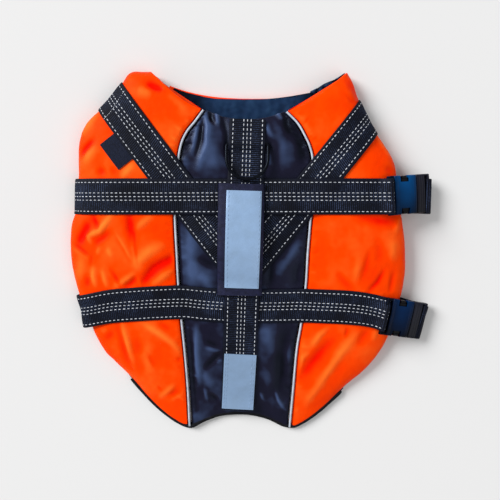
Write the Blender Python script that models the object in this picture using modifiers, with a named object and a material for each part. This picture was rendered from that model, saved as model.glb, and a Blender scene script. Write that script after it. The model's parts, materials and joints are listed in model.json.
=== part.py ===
"""A dog life jacket laid flat: a padded shell folded at both sides, webbing, two buckles and a lead ring.

All sizes here are in millimetres. +Y points to the neck, +X to the buckles and +Z up, and the jacket lies
on z = 0. The last step moves everything so that the origin is at the middle of the whole model's base.
"""

import math

import bmesh
import bpy
from mathutils import Matrix, Vector
from mathutils.bvhtree import BVHTree

MM = 0.001
GAP = 0.3  # between pieces that touch
ROOM = 0.5  # under webbing, so that its straight facets clear a curved panel
REST = 2.0  # underside of the panels, which lie on the webbing beneath

SEAM_EDGE = 3.0  # thickness of a panel where it is sewn
SEAM_HALF_GAP = 2.0  # from a seam's line to the panel's edge: the piping lies between
PIPING_RADIUS = 1.1
BINDING_WIDTH, BINDING_HEIGHT = 2.4, 5.0

WEBBING_WIDTH, WEBBING_THICKNESS = 39.6, 1.6
CHEST_Y = 60.0  # middle of the chest strap
BELLY_Y = -64.0  # middle of the belly strap
SPINE_X_NECK, SPINE_X_TAIL = -2.5, -14.0  # middle of the spine webbing, at its two ends
SPINE_Y_NECK, SPINE_Y_TAIL = 143.5, -192.0
TAPE_THICKNESS = 0.6

RING_BAR_Y = 117.0
RING_HALF, RING_SIDE = 22.6, 15.5  # half the bar, and the straight part of each side
RING_WIRE = 1.7  # radius
RING_NEAR_BAR, RING_NEAR_ROUND = 12.0, 10.0  # how far round each end the height beneath it is taken
RING_ROOM = 0.6
HANDLE_ARCH = 7.0
HANDLE_THICKNESS = 4.0

BUCKLE_WIDTH, BUCKLE_THICKNESS = 43.2, 8.4
FEMALE_LENGTH, MALE_LENGTH = 30.0, 19.0
SLOT, SLOT_HALF = 4.2, 20.0  # the webbing's slot: along the buckle, and half its width
BAR, BAR_HALF = 3.6, 1.8
SOCKET_HALF, SOCKET_HEIGHT = 16.5, 2.5
PLUG_GAP = 0.4  # between the two halves
NOTCH_START, NOTCH_END = 9.0, 19.0  # of the openings in the socket's sides, along it
TAB_START, TAB_END, TAB_HALF_HEIGHT = 10.5, 17.5, 3.2
ARM_WIDTH, GUIDE_HALF, ARM_START, GUIDE_START = 3.9, 2.2, 10.0, 8.0
THROUGH = 20.0  # how far a cutter reaches past what it cuts
CHEST_BUCKLE = (158.0, 61.0, 33.4)  # where each socket's body begins
BELLY_BUCKLE = (157.5, -75.8, 27.5)
CHEST_TILT, CHEST_TURN = 25.0, 4.0
BELLY_TILT, BELLY_TURN = 22.0, -12.0

LEFT_RUN, RIGHT_RUN = (-0.6, 0.8), (0.63, 0.777)  # the way each shoulder strap runs
LEFT_DIAGONAL = (-155.0, 170.4)  # where its middle meets the fold
RIGHT_DIAGONAL = (131.0, 147.0)
LEFT_BEHIND, RIGHT_BEHIND = 228.0, 212.0  # from there back to where it starts, under the handle
STRAP_LINES = 3
WRAP = (75, 55, 35, 15, -5, -25, -42)  # degrees at which a strap is sampled round the fold
WRAP_ROOM = 0.6
FOLD_Z = 13.0  # height of the fold's middle

# The lengths of each strap's two edges, from its start to the fold's middle, and its steps.
SHOULDER_LEFT = ((218.5, 218.5), 24)
SHOULDER_RIGHT = ((203.0, 203.0), 22)
CHEST_START, CHEST_STRAP = (155.0, CHEST_Y), ((346.5, 337.5), 38)
BELLY_START, BELLY_STRAP = (154.5, BELLY_Y), ((331.0, 340.0), 38)
BELLY_SKEW = 0.21  # its start is square to the turned buckle
SPINE_STEPS = 46

# How far the belly strap strays towards the neck, by x.
BELLY_BEND = (
    (-200.0, -10.0), (-178.0, -4.5), (-158.0, 0.0), (-113.0, 3.5), (-78.0, 4.9), (-56.0, 2.6), (-31.0, 0.6),
    (10.0, 0.3), (60.0, 0.8), (107.0, -0.9), (130.0, -3.4), (145.0, -7.0), (160.0, -11.0),
)

# The stretches beneath the jacket: plan points, and the height of the underside at each.
CHEST_UNDER = (
    ((-184.0, 60.0), 0.0), ((60.0, 60.0), 0.0), ((176.0, 60.0), 0.0), ((184.0, 60.0), 1.2),
    ((191.0, 60.0), 3.2), ((197.0, 60.0), 5.4),
)
BELLY_UNDER = (
    ((-184.0, -72.5), 0.0), ((-140.0, -67.0), 0.0), ((60.0, -66.0), 0.0), ((158.0, -74.0), 0.0),
    ((177.0, -79.0), 0.0), ((187.0, -82.0), 1.0), ((194.0, -84.0), 2.0),
)
LEFT_UNDER = (((-147.0, 164.5), 0.0), ((-107.0, 146.5), 0.0), ((-66.0, 128.0), 0.0))
RIGHT_UNDER = (((120.0, 146.0), 0.0), ((86.0, 135.5), 0.0), ((52.0, 125.0), 0.0))

# Tapes laid on the jacket: start, the way each runs, width, length and steps.
LABEL = (19.0, 34.0, 5)
LABEL_FROM_FOLD, LABEL_FROM_STRAP, LABEL_THICKNESS = 38.0, 0.9, 1.0
HANDLE = ((-9.2, 74.0), (-0.02, -1.0), 50.0, 124.0, 14)
HANDLE_TAPE = ((-6.2, 66.5), (-0.03, -1.0), 38.0, 108.0, 12)
TAIL_TAPE = ((-11.0, -121.0), (-0.055, -1.0), 37.0, 69.0, 9)

# One row for each section across a side panel, from the neck edge to the hem. A section runs from the
# piping seam to the fold, where it turns under, and ends at the flap's edge. bow is how far the middle of
# the section bends towards the tail.
SIDE_COLUMNS = ("seam_x", "seam_y", "fold_x", "fold_y", "bow", "seam_z", "fold_z", "foam", "flap")
LEFT_ROWS = (
    (-51.0, 154.0, -111.0, 198.0, 5.0, 28.5, 10.0, 6.0, 24.0),
    (-60.0, 141.5, -132.0, 197.0, 2.0, 30.5, 11.0, 9.5, 40.0),
    (-68.5, 131.0, -143.5, 185.0, 0.0, 31.5, 11.5, 11.0, 46.0),
    (-74.5, 119.0, -162.0, 164.0, 0.0, 32.0, 12.5, 11.5, 36.0),
    (-78.0, 104.0, -181.5, 142.0, 0.0, 32.5, 13.0, 11.5, 32.0),
    (-80.5, 84.0, -191.5, 118.0, 0.0, 33.0, 13.0, 11.5, 34.0),
    (-83.0, 58.0, -193.5, 78.0, 0.0, 33.0, 13.0, 11.5, 42.0),
    (-83.0, 28.0, -202.0, 36.0, 0.0, 31.5, 13.0, 11.5, 62.0),
    (-82.0, -4.0, -205.0, -4.0, 0.0, 29.5, 13.0, 11.5, 82.0),
    (-81.0, -40.0, -200.5, -38.0, 0.0, 27.0, 12.5, 11.5, 92.0),
    (-78.5, -80.0, -190.0, -78.0, 0.0, 24.0, 11.5, 10.5, 86.0),
    (-75.5, -120.0, -172.5, -117.0, 0.0, 20.0, 10.0, 9.5, 66.0),
    (-73.2, -166.0, -159.0, -134.0, 4.0, 14.0, 7.5, 7.0, 32.0),
    (-72.5, -214.5, -144.0, -150.0, 6.5, 6.0, 4.2, 3.4, 9.0),
)
RIGHT_ROWS = (
    (40.0, 152.0, 108.5, 196.0, 5.0, 28.5, 10.0, 6.0, 24.0),
    (52.0, 139.5, 115.0, 184.0, 2.0, 30.5, 11.0, 9.5, 32.0),
    (60.0, 126.0, 122.5, 164.0, 0.0, 31.5, 11.5, 11.0, 32.0),
    (65.5, 114.0, 133.0, 142.0, 0.0, 32.0, 12.5, 11.5, 30.0),
    (68.5, 101.0, 149.0, 118.0, 0.0, 32.5, 13.0, 11.5, 32.0),
    (69.0, 82.0, 162.5, 96.0, 0.0, 33.0, 13.0, 11.5, 36.0),
    (68.2, 56.0, 168.0, 60.0, 0.0, 33.0, 13.0, 11.5, 42.0),
    (66.5, 27.0, 174.0, 27.0, 0.0, 31.5, 13.0, 11.5, 60.0),
    (64.5, -4.0, 178.0, -8.0, 0.0, 29.5, 13.0, 11.5, 80.0),
    (63.0, -40.0, 177.0, -39.0, 0.0, 27.0, 12.5, 11.5, 90.0),
    (58.8, -82.0, 169.0, -81.0, 0.0, 24.0, 11.5, 10.5, 84.0),
    (54.0, -117.0, 154.5, -117.0, 0.0, 20.0, 10.0, 9.5, 62.0),
    (50.8, -165.0, 135.6, -143.5, 4.0, 14.0, 7.5, 7.0, 32.0),
    (47.5, -216.0, 111.5, -166.5, 4.5, 6.0, 4.2, 3.4, 9.0),
)

# The centre panel joins the two seams, row for row, so its rows hold only its own bow and foam.
CENTRE_COLUMNS = ("bow", "foam")
CENTRE_ROWS = (
    (9.5, 5.0), (5.0, 8.0), (1.0, 9.0), (0.0, 9.5), (0.0, 9.5), (0.0, 9.5), (0.0, 9.5),
    (0.0, 9.5), (0.0, 9.5), (0.0, 9.5), (0.0, 9.0), (0.0, 8.5), (-4.0, 6.5), (-18.5, 3.2),
)

# The chest panel lies beneath, from the lower neck edge to the chest strap, between the armholes.
CHEST_COLUMNS = ("left_x", "left_y", "right_x", "right_y", "bow", "foam")
CHEST_ROWS = (
    (-90.5, 183.5, 85.5, 180.5, 13.0, 5.0),
    (-97.0, 170.0, 85.0, 168.0, 11.0, 8.0),
    (-101.0, 157.0, 88.0, 154.0, 7.0, 10.0),
    (-86.0, 141.0, 77.0, 138.0, 3.0, 11.0),
    (-68.0, 122.0, 62.0, 120.0, 0.0, 11.0),
    (-60.0, 100.0, 54.0, 99.0, 0.0, 11.0),
    (-60.0, 76.0, 54.0, 76.0, 0.0, 11.0),
    (-66.0, 44.0, 60.0, 44.0, 0.0, 5.0),
)
LINING_ROWS, LINING_INSET, LINING_THICKNESS = 5, 5.0, 1.0

# Where a side section is sampled: parts of its width from the seam to the fold.
OUTER_STEPS = (0.0, 0.05, 0.13, 0.28, 0.46, 0.63, 0.78, 0.89, 0.96, 1.0)
CENTRE_STEPS = 8
HEM_SHARES = (0.12, 0.25, 0.4, 0.55, 0.7, 0.82, 0.93)
INNER_STEPS = (1.0, 0.93, 0.8, 0.6, 0.35, 0.14, 0.0)

COLOURS = {
    "orange": ((0.95, 0.09, 0.005), 0.5, 0.0),
    "navy": ((0.012, 0.016, 0.035), 0.4, 0.0),
    "lining": ((0.03, 0.07, 0.16), 0.5, 0.0),
    "piping": ((0.55, 0.6, 0.65), 0.5, 0.0),
    "webbing": ((0.008, 0.009, 0.014), 0.8, 0.0),
    "reflective": ((0.35, 0.48, 0.65), 0.3, 0.2),
    "metal": ((0.01, 0.01, 0.012), 0.35, 0.8),
    "plastic": ((0.008, 0.01, 0.018), 0.2, 0.0),
}


def clear_scene():
    for old in list(bpy.data.objects):
        bpy.data.objects.remove(old, do_unlink=True)


def new_collection(name):
    collection = bpy.data.collections.new(name)
    bpy.context.scene.collection.children.link(collection)
    return collection


def new_material(name, colour):
    base, roughness, metallic = COLOURS[colour]
    material = bpy.data.materials.new(name)
    material.use_nodes = True
    shader = material.node_tree.nodes["Principled BSDF"]
    shader.inputs["Base Color"].default_value = (*base, 1.0)
    shader.inputs["Roughness"].default_value = roughness
    shader.inputs["Metallic"].default_value = metallic
    return material


def add_object(name, mesh, colour, collection):
    """A part with its own material, under the jacket's empty."""
    obj = bpy.data.objects.new(name, mesh)
    collection.objects.link(obj)
    obj.parent = ROOT
    mesh.materials.clear()
    mesh.materials.append(new_material(name, colour))
    mesh.shade_smooth()
    mesh.set_sharp_from_angle(angle=math.radians(35))
    return obj


def loft(name, rings, colour):
    """One closed solid through rings of points that all have the same count."""
    shape = bmesh.new()
    rows = [[shape.verts.new(Vector(point) * MM) for point in ring] for ring in rings]
    count = len(rows[0])
    for one, two in zip(rows, rows[1:]):
        for k in range(count):
            shape.faces.new((one[k], one[(k + 1) % count], two[(k + 1) % count], two[k]))
    shape.faces.new(rows[0][::-1])
    shape.faces.new(rows[-1])
    bmesh.ops.triangulate(shape, faces=[face for face in shape.faces if len(face.verts) > 4])
    bmesh.ops.recalc_face_normals(shape, faces=shape.faces[:])
    mesh = bpy.data.meshes.new(name)
    shape.to_mesh(mesh)
    shape.free()
    return add_object(name, mesh, colour, PARTS)


def smooth_value(values, t):
    """The value at t along a list, on a Catmull-Rom curve through all of it."""
    i = min(int(t), len(values) - 2)
    f = t - i
    before = values[i - 1] if i > 0 else 2 * values[0] - values[1]
    after = values[i + 2] if i + 2 < len(values) else 2 * values[-1] - values[-2]
    a, b = values[i], values[i + 1]
    curve = (b - before) * f + (2 * before - 5 * a + 4 * b - after) * f**2
    return a + 0.5 * (curve + (3 * a - before - 3 * b + after) * f**3)


def row_at(columns, rows, t):
    """The table's row at t, as a dictionary from column name to smoothed value."""
    return {name: smooth_value([row[k] for row in rows], t) for k, name in enumerate(columns)}


def row_steps(count, per_row):
    """The positions along a table at which sections are made."""
    return [k / per_row for k in range((count - 1) * per_row + 1)]


def side_plane(row):
    """Where a side section starts, the unit vector to its fold, the one towards the tail, and its length."""
    start = Vector((row["seam_x"], row["seam_y"]))
    across = Vector((row["fold_x"], row["fold_y"])) - start
    length = across.length
    across /= length
    tailward = Vector((across.y, -across.x))
    if tailward.y > 0:
        tailward = -tailward
    return start, across, tailward, length


def dome(s, length, exponent=3.0):
    """Falls from 1 at s = 0 to 0 at the fold, with an upright end."""
    return max(0.0, 1.0 - min(1.0, s / length) ** exponent) ** (1.0 / exponent)


def side_ring(row):
    """The closed outline of one section of a side panel: over the top, round the fold, under and back."""
    start, across, tailward, length = side_plane(row)
    foam = row["foam"]
    under = 0.85 * foam
    seam_z, fold_z = row["seam_z"], row["fold_z"]
    edge = min(SEAM_EDGE, 0.7 * foam)
    inner = length - foam
    turn = fold_z - REST
    cavity_z = REST + under + 0.6 + 0.1 * (seam_z - REST)

    def top(s):
        puff = 0.22 * foam * (1 - math.exp(-s / 8.0)) * (1 - (s / length) ** 4)
        return fold_z + (seam_z - fold_z) * dome(s, length) + puff

    def ceiling(s):
        sink = 0.5 * foam * (1 - math.exp(-s / 12.0)) * max(0.0, 1 - (s / inner) ** 4)
        return cavity_z + (seam_z - edge - cavity_z) * dome(s, inner) - sink

    first = SEAM_HALF_GAP
    section = []
    for f in OUTER_STEPS:
        s = first + (length - first) * f
        section.append((s, top(s)))
    for angle in (40, 70, 90):
        turned = math.radians(angle)
        section.append((length - turn * (1 - math.cos(turned)), fold_z - turn * math.sin(turned)))
    reach = row["flap"]
    for f in (0.45, 1.0):
        section.append((length - turn - (reach - turn - 1.0) * f, REST))
    lip = min(under, 4.5)
    section.append((length - reach, REST + 0.5 * lip))
    section.append((length - reach + 1.0, REST + lip))
    if reach > 2.2 * foam:
        section.append((length - reach + 9.0, REST + under))
        section.append((length - foam - 3.0, REST + under))
    else:
        section.append((length - 0.8 * reach, REST + lip + 0.1))
        section.append((length - 0.8 * reach + 0.3, REST + lip + 0.15))
    roof_end = min(inner, length - 0.75 * reach)
    for f in INNER_STEPS:
        s = first + (roof_end - first) * f
        section.append((s, ceiling(s)))
    return [place_on_side(start, across, tailward, length, row["bow"], s, z) for s, z in section]


def place_on_side(start, across, tailward, length, bow, s, z):
    """A point of a side section in space. The bow is strongest near the seam's side of the middle."""
    share = max(0.0, min(1.0, s / length))
    spot = start + across * s + tailward * (bow * math.sin(math.pi * share**0.75))
    return (spot.x, spot.y, z)


def seam_point(rows, t):
    row = row_at(SIDE_COLUMNS, rows, t)
    return Vector((row["seam_x"], row["seam_y"], row["seam_z"]))


def make_side(name, rows):
    rings = [side_ring(row_at(SIDE_COLUMNS, rows, t)) for t in row_steps(len(rows), 2)]
    return loft(name, rings, "orange")


def padded_ring(left, right, bow, foam, top_extra, steps, flatness):
    """A section between two edges, with a crowned top and a bottom one foam's thickness lower."""
    across = right - left
    flat = Vector((across.x, across.y)).normalized()
    tailward = Vector((flat.y, -flat.x))
    edge = min(SEAM_EDGE, 0.7 * foam)
    upper, lower = [], []
    for k in range(steps + 1):
        f = k / steps
        spot = left + across * f
        bend = bow * (1 - abs(2 * f - 1) ** flatness)
        rise = min(1.0, 6.0 * f, 6.0 * (1 - f))
        x, y = spot.x + tailward.x * bend, spot.y + tailward.y * bend
        upper.append((x, y, spot.z + top_extra * rise))
        lower.append((x, y, spot.z + top_extra * rise - edge - (foam - edge) * rise))
    return upper + lower[::-1]


def centre_ring(t):
    row = row_at(CENTRE_COLUMNS, CENTRE_ROWS, t)
    left, right = seam_point(LEFT_ROWS, t), seam_point(RIGHT_ROWS, t)
    inward = (right - left).normalized() * SEAM_HALF_GAP
    crown = 0.2 * row["foam"]
    return padded_ring(left + inward, right - inward, row["bow"], row["foam"], crown, CENTRE_STEPS, 2.2)


def make_centre():
    rings = [centre_ring(t) for t in row_steps(len(CENTRE_ROWS), 2)]
    return loft("back_centre", rings, "navy")


def make_chest_panel():
    rings = []
    for t in row_steps(len(CHEST_ROWS), 2):
        row = row_at(CHEST_COLUMNS, CHEST_ROWS, t)
        edge = min(SEAM_EDGE, 0.7 * row["foam"])
        height = REST + edge
        left = Vector((row["left_x"], row["left_y"], height))
        right = Vector((row["right_x"], row["right_y"], height))
        ring = padded_ring(left, right, row["bow"], row["foam"], row["foam"] - edge, 8, 2.6)
        rings.append([(x, y, max(REST, z)) for x, y, z in ring])
    return loft("chest_panel", rings, "orange")


def make_neck_lining(panel):
    """The lining lies on the chest panel, from the lower neck edge to well inside the mouth."""
    rings = []
    surface = tree_of([panel])
    for t in row_steps(LINING_ROWS, 3):
        row = row_at(CHEST_COLUMNS, CHEST_ROWS, t)
        left = Vector((row["left_x"] + LINING_INSET, row["left_y"] - 0.4, 0.0))
        right = Vector((row["right_x"] - LINING_INSET, row["right_y"] - 0.4, 0.0))
        flat = padded_ring(left, right, row["bow"], 1.0, 0.0, 10, 2.6)[:11]
        lower = [(x, y, height_near(surface, x, y, 7.0, 6.0) + 0.4) for x, y, _ in flat]
        upper = [(x, y, z + LINING_THICKNESS) for x, y, z in lower]
        rings.append(upper + lower[::-1])
    return loft("neck_lining", rings, "lining")


def tube_rings(points, radius_across, radius_up, sides):
    """Closed rings round a path, each upright and square to it."""
    rings = []
    for k, point in enumerate(points):
        ahead = points[min(k + 1, len(points) - 1)] - points[max(k - 1, 0)]
        ahead.z = 0.0
        ahead.normalize()
        beside = Vector((-ahead.y, ahead.x, 0.0))
        ring = []
        for j in range(sides):
            angle = 2 * math.pi * (j + 0.5) / sides
            offset = beside * (radius_across * math.cos(angle))
            ring.append(tuple(point + offset + Vector((0, 0, radius_up * math.sin(angle)))))
        rings.append(ring)
    return rings


def make_piping(name, rows):
    """A cord in the groove between two panels, its top level with their edges."""
    points = [seam_point(rows, t) for t in row_steps(len(rows), 2)]
    points = [point + Vector((0, 0, 0.3)) for point in points]
    return loft(name, tube_rings(points, PIPING_RADIUS, PIPING_RADIUS, 6), "piping")


def hem_line():
    """The hem's edge in plan, from the left fold by way of the two tips to the right fold."""
    line = []
    left, right = row_at(SIDE_COLUMNS, LEFT_ROWS, 13), row_at(SIDE_COLUMNS, RIGHT_ROWS, 13)
    for f in HEM_SHARES[::-1]:
        line.append(side_hem_point(left, f))
    middle = centre_ring(13)[:CENTRE_STEPS + 1]
    line += [Vector((x, y, 0.0)) for x, y, _ in middle]
    for f in HEM_SHARES:
        line.append(side_hem_point(right, f))
    return line


def side_hem_point(row, share):
    start, across, tailward, length = side_plane(row)
    x, y, _ = place_on_side(start, across, tailward, length, row["bow"], share * length, 0.0)
    return Vector((x, y, 0.0))


def make_hem_binding():
    """A bar of folded tape that stands against the hem's cut edge."""
    line = hem_line()
    away = BINDING_WIDTH / 2 + 0.9
    points = []
    for k, point in enumerate(line):
        ahead = (line[min(k + 1, len(line) - 1)] - line[max(k - 1, 0)]).normalized()
        outward = Vector((ahead.y, -ahead.x, 0.0))
        points.append(point + outward * away + Vector((0, 0, BINDING_HEIGHT / 2 + 0.4)))
    return loft("hem_binding", tube_rings(points, BINDING_WIDTH / 2, BINDING_HEIGHT / 2, 6), "webbing")


def tree_of(objects):
    """One search tree over the world-space faces of these objects, in millimetres."""
    points, faces = [], []
    for obj in objects:
        first = len(points)
        points += [vert.co / MM for vert in obj.data.vertices]
        obj.data.calc_loop_triangles()
        faces += [[first + k for k in triangle.vertices] for triangle in obj.data.loop_triangles]
    return BVHTree.FromPolygons(points, faces)


def height_at(tree, x, y, missing):
    hit = tree.ray_cast(Vector((x, y, 200.0)), Vector((0, 0, -1)))
    return missing if hit[0] is None else hit[0].z


def height_near(tree, x, y, missing, reach):
    """The highest surface within a square of this half width, so that a facet between samples clears it."""
    spots = [reach * k / 4 for k in range(-4, 5)]
    return max(height_at(tree, x + a, y + b, missing) for a in spots for b in spots)


def stray(bend, x):
    """How far a bent strap lies towards the neck at x."""
    for (one_x, one), (two_x, two) in zip(bend, bend[1:]):
        if x < two_x:
            return one + (two - one) * max(0.0, (x - one_x) / (two_x - one_x))
    return bend[-1][1] if bend else 0.0


def strap_column(tree, spot, direction, length, steps, wrap, bend):
    """Points and outward directions of one line along a strap: over the top, then round the fold."""
    column = []
    step = length / steps
    for k in range(steps + 1):
        point = spot + direction * (step * k)
        point.y += stray(bend, point.x)
        z = height_near(tree, point.x, point.y, FOLD_Z, step)
        column.append((Vector((point.x, point.y, z)), Vector((0, 0, 1))))
    if not wrap:
        return column
    centre = spot + direction * length
    centre.y += stray(bend, centre.x)
    for angle in wrap:
        turned = math.radians(angle)
        outward = Vector((direction.x * math.cos(turned), direction.y * math.cos(turned), math.sin(turned)))
        middle = Vector((centre.x, centre.y, FOLD_Z))
        hit = tree.ray_cast(middle + outward * 120.0, -outward)
        point = middle if hit[0] is None else hit[0]
        column.append((point, outward))
    return column


def lay_strap(name, supports, start, direction, width, lengths, steps, wrap=(), room=ROOM,
              thickness=WEBBING_THICKNESS, colour="webbing", arch=0.0, skew=0.0, bend=()):
    """A flat strap laid over what is already there. lengths are those of its two edges, and arch lifts its
    middle off the support. skew is how far its start lies back for each millimetre across it."""
    tree = tree_of(supports)
    direction = Vector(direction).normalized()
    beside = Vector((-direction.y, direction.x))
    columns = []
    for k in range(STRAP_LINES + 1):
        f = k / STRAP_LINES
        back = skew * width * (0.5 - f)
        spot = Vector(start) + beside * (width * (0.5 - f)) + direction * back
        length = lengths[0] + (lengths[1] - lengths[0]) * f - back
        columns.append(strap_column(tree, spot, direction, length, steps, wrap, bend))
    rings = []
    for j in range(len(columns[0])):
        section = [column[j] for column in columns]
        lift = room + arch * math.sin(math.pi * min(1.0, j / steps)) ** 2
        lift += WRAP_ROOM if j > steps else 0.0
        inner, outer = [], []
        for k, (point, outward) in enumerate(section):
            base = Vector(point)
            if j <= steps:
                base.z = max(other.z for other, _ in section[max(0, k - 1):k + 2])
            inner.append(tuple(base + outward * lift))
            outer.append(tuple(base + outward * (lift + thickness)))
        rings.append(outer + inner[::-1])
    return loft(name, rings, colour)


def lay_tape(name, supports, place, **settings):
    start, run, width, length, steps = place
    return lay_strap(name, supports, start, run, width, (length, length), steps, **settings)


def flat_strap(name, route):
    """A strap beneath the jacket, through plan points, each with the height of its underside."""
    rings = []
    points = [point for point, _ in route]
    for k, (point, bottom) in enumerate(route):
        ahead = Vector(points[min(k + 1, len(points) - 1)]) - Vector(points[max(k - 1, 0)])
        ahead.normalize()
        beside = Vector((-ahead.y, ahead.x)) * (WEBBING_WIDTH / 2)
        left, right = Vector(point) + beside, Vector(point) - beside
        top = bottom + WEBBING_THICKNESS
        rings.append([(left.x, left.y, top), (right.x, right.y, top),
                      (right.x, right.y, bottom), (left.x, left.y, bottom)])
    return loft(name, rings, "webbing")


def box(name, low, high, frame, colour="plastic", bevel=0.0, cutter=False):
    """A box between two corners of a local frame, as a part or as a cutter."""
    shape = bmesh.new()
    bmesh.ops.create_cube(shape, size=1.0)
    size = [b - a for a, b in zip(low, high)]
    middle = [(a + b) / 2 for a, b in zip(low, high)]
    for vert in shape.verts:
        local = Vector([m + s * c for m, s, c in zip(middle, size, vert.co)])
        vert.co = local * MM
    mesh = bpy.data.meshes.new(name)
    shape.to_mesh(mesh)
    shape.free()
    obj = add_object(name, mesh, colour, CUTTERS if cutter else PARTS)
    obj.matrix_local = Matrix.Translation(frame.to_translation() * MM) @ frame.to_3x3().to_4x4()
    if cutter:
        obj.hide_render = True
        obj.display_type = "WIRE"
    if bevel:
        edges = obj.modifiers.new("rounding", "BEVEL")
        edges.width = bevel * MM
        edges.segments = 2
    return obj


def combine(obj, other, operation):
    change = obj.modifiers.new(other.name, "BOOLEAN")
    change.operation = operation
    change.object = other


def buckle_frame(spot, tilt, turn):
    """A frame whose X runs from the webbing's slot towards the table, outwards over the fold."""
    turned = Matrix.Rotation(math.radians(turn), 4, "Z") @ Matrix.Rotation(math.radians(tilt), 4, "Y")
    return Matrix.Translation(Vector(spot)) @ turned


def make_female(name, frame):
    """The socket half: a hollow body with a notch at each side, and the bar that holds the webbing."""
    half, thick = BUCKLE_WIDTH / 2, BUCKLE_THICKNESS / 2
    body = box(name, (-SLOT - BAR, -half, -thick), (FEMALE_LENGTH, half, thick), frame, bevel=1.2)
    wide, bar_end = half + THROUGH, 0.5 - SLOT
    cuts = (
        ((-SLOT, -SLOT_HALF, -THROUGH), (0, SLOT_HALF, THROUGH)),
        ((-THROUGH, -wide, BAR_HALF), (bar_end, wide, THROUGH)),
        ((-THROUGH, -wide, -THROUGH), (bar_end, wide, -BAR_HALF)),
        ((4.0, -SOCKET_HALF, -SOCKET_HEIGHT), (FEMALE_LENGTH + THROUGH, SOCKET_HALF, SOCKET_HEIGHT)),
        ((NOTCH_START, SOCKET_HALF - 1.0, -THROUGH), (NOTCH_END, wide, THROUGH)),
        ((NOTCH_START, -wide, -THROUGH), (NOTCH_END, 1.0 - SOCKET_HALF, THROUGH)),
    )
    for k, (low, high) in enumerate(cuts):
        combine(body, box(f"{name}_cut_{k}", low, high, frame, cutter=True), "DIFFERENCE")
    return body


def make_male(name, frame):
    """The plug half: a slotted plate with two springy arms whose tabs fill the socket's notches."""
    half, thick = BUCKLE_WIDTH / 2, BUCKLE_THICKNESS / 2
    first, last = FEMALE_LENGTH + PLUG_GAP, FEMALE_LENGTH + MALE_LENGTH
    arm_height = SOCKET_HEIGHT - PLUG_GAP
    body = box(name, (first, -half, -thick), (last, half, thick), frame, bevel=1.2)
    for side in (-1, 1):
        outside = SOCKET_HALF - 0.5
        span = sorted((side * (outside - ARM_WIDTH), side * outside))
        arm = box(f"{name}_arm_{side}", (ARM_START, span[0], -arm_height), (first + 2, span[1], arm_height),
                  frame, cutter=True)
        combine(body, arm, "UNION")
        span = sorted((side * (SOCKET_HALF - 0.7), side * (half - 0.6)))
        tab = box(f"{name}_tab_{side}", (TAB_START, span[0], -TAB_HALF_HEIGHT),
                  (TAB_END, span[1], TAB_HALF_HEIGHT), frame, cutter=True)
        combine(body, tab, "UNION")
    guide = box(f"{name}_guide", (GUIDE_START, -GUIDE_HALF, -arm_height),
                (first + 2, GUIDE_HALF, arm_height), frame, cutter=True)
    combine(body, guide, "UNION")
    slot = box(f"{name}_slot", (last - BAR - SLOT, -SLOT_HALF, -THROUGH), (last - BAR, SLOT_HALF, THROUGH),
               frame, cutter=True)
    combine(body, slot, "DIFFERENCE")
    return body


def ring_path(bar, tilt):
    """The D ring's centre line: a straight bar across, two sides and a half circle towards the tail."""
    flat = [(-RING_HALF, 0.0), (RING_HALF, 0.0), (RING_HALF, -RING_SIDE / 2), (RING_HALF, -RING_SIDE)]
    for k in range(1, 8):
        angle = math.pi * k / 8
        flat.append((RING_HALF * math.cos(angle), -RING_SIDE - RING_HALF * math.sin(angle)))
    flat += [(-RING_HALF, -RING_SIDE), (-RING_HALF, -RING_SIDE / 2)]
    rise = math.tan(math.radians(tilt))
    return [bar + Vector((x, y, -y * rise)) for x, y in flat]


def make_ring(bar, tilt):
    curve = bpy.data.curves.new("d_ring", "CURVE")
    curve.dimensions = "3D"
    curve.bevel_depth = RING_WIRE * MM
    curve.bevel_resolution = 2
    points = ring_path(bar, tilt)
    spline = curve.splines.new("POLY")
    spline.points.add(len(points) - 1)
    for place, point in zip(spline.points, points):
        place.co = (*((point - bar) * MM), 1.0)
    spline.use_cyclic_u = True
    obj = bpy.data.objects.new("d_ring", curve)
    PARTS.objects.link(obj)
    obj.parent = ROOT
    obj.location = bar * MM  # the origin lies on the joint's axis
    curve.materials.append(new_material("d_ring", "metal"))


def bar_guide(bar):
    """A plain block where the ring's bar is, for the webbing to lie over. It isn't a part."""
    half = RING_WIRE + 0.2
    low, high = (-RING_HALF, -half, -half), (RING_HALF, half, half)
    guide = box("bar_guide", low, high, Matrix.Translation(bar), cutter=True)
    guide.data.transform(Matrix.Translation(bar * MM))
    guide.matrix_local = Matrix.Identity(4)
    return guide


def top_at(objects, x, y, reach):
    return height_near(tree_of(objects), x, y, 0.0, reach)


def buckle_copy(obj):
    """The buckle's finished mesh as a support for the webbing that lies over its bar."""
    bpy.context.view_layer.update()
    evaluated = obj.evaluated_get(bpy.context.evaluated_depsgraph_get())
    mesh = bpy.data.meshes.new_from_object(evaluated)
    mesh.transform(obj.matrix_world)
    copy = add_object(f"{obj.name}_support", mesh, "plastic", CUTTERS)
    copy.hide_render = True
    copy.display_type = "WIRE"
    return copy


def centre_everything():
    """Moves the jacket so that the world's origin is at the middle of the base of its box."""
    bpy.context.view_layer.update()
    graph = bpy.context.evaluated_depsgraph_get()
    low, high = Vector((9, 9, 9)), Vector((-9, -9, -9))
    for obj in PARTS.objects:
        if obj.type == "EMPTY":
            continue
        evaluated = obj.evaluated_get(graph)
        for vert in evaluated.to_mesh().vertices:
            spot = evaluated.matrix_world @ vert.co
            low = Vector(map(min, low, spot))
            high = Vector(map(max, high, spot))
        evaluated.to_mesh_clear()
    ROOT.location = (-(low.x + high.x) / 2, -(low.y + high.y) / 2, -low.z)


clear_scene()
PARTS = new_collection("dog_life_jacket")
CUTTERS = new_collection("cutters")
ROOT = bpy.data.objects.new("jacket_origin", None)
PARTS.objects.link(ROOT)

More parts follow.
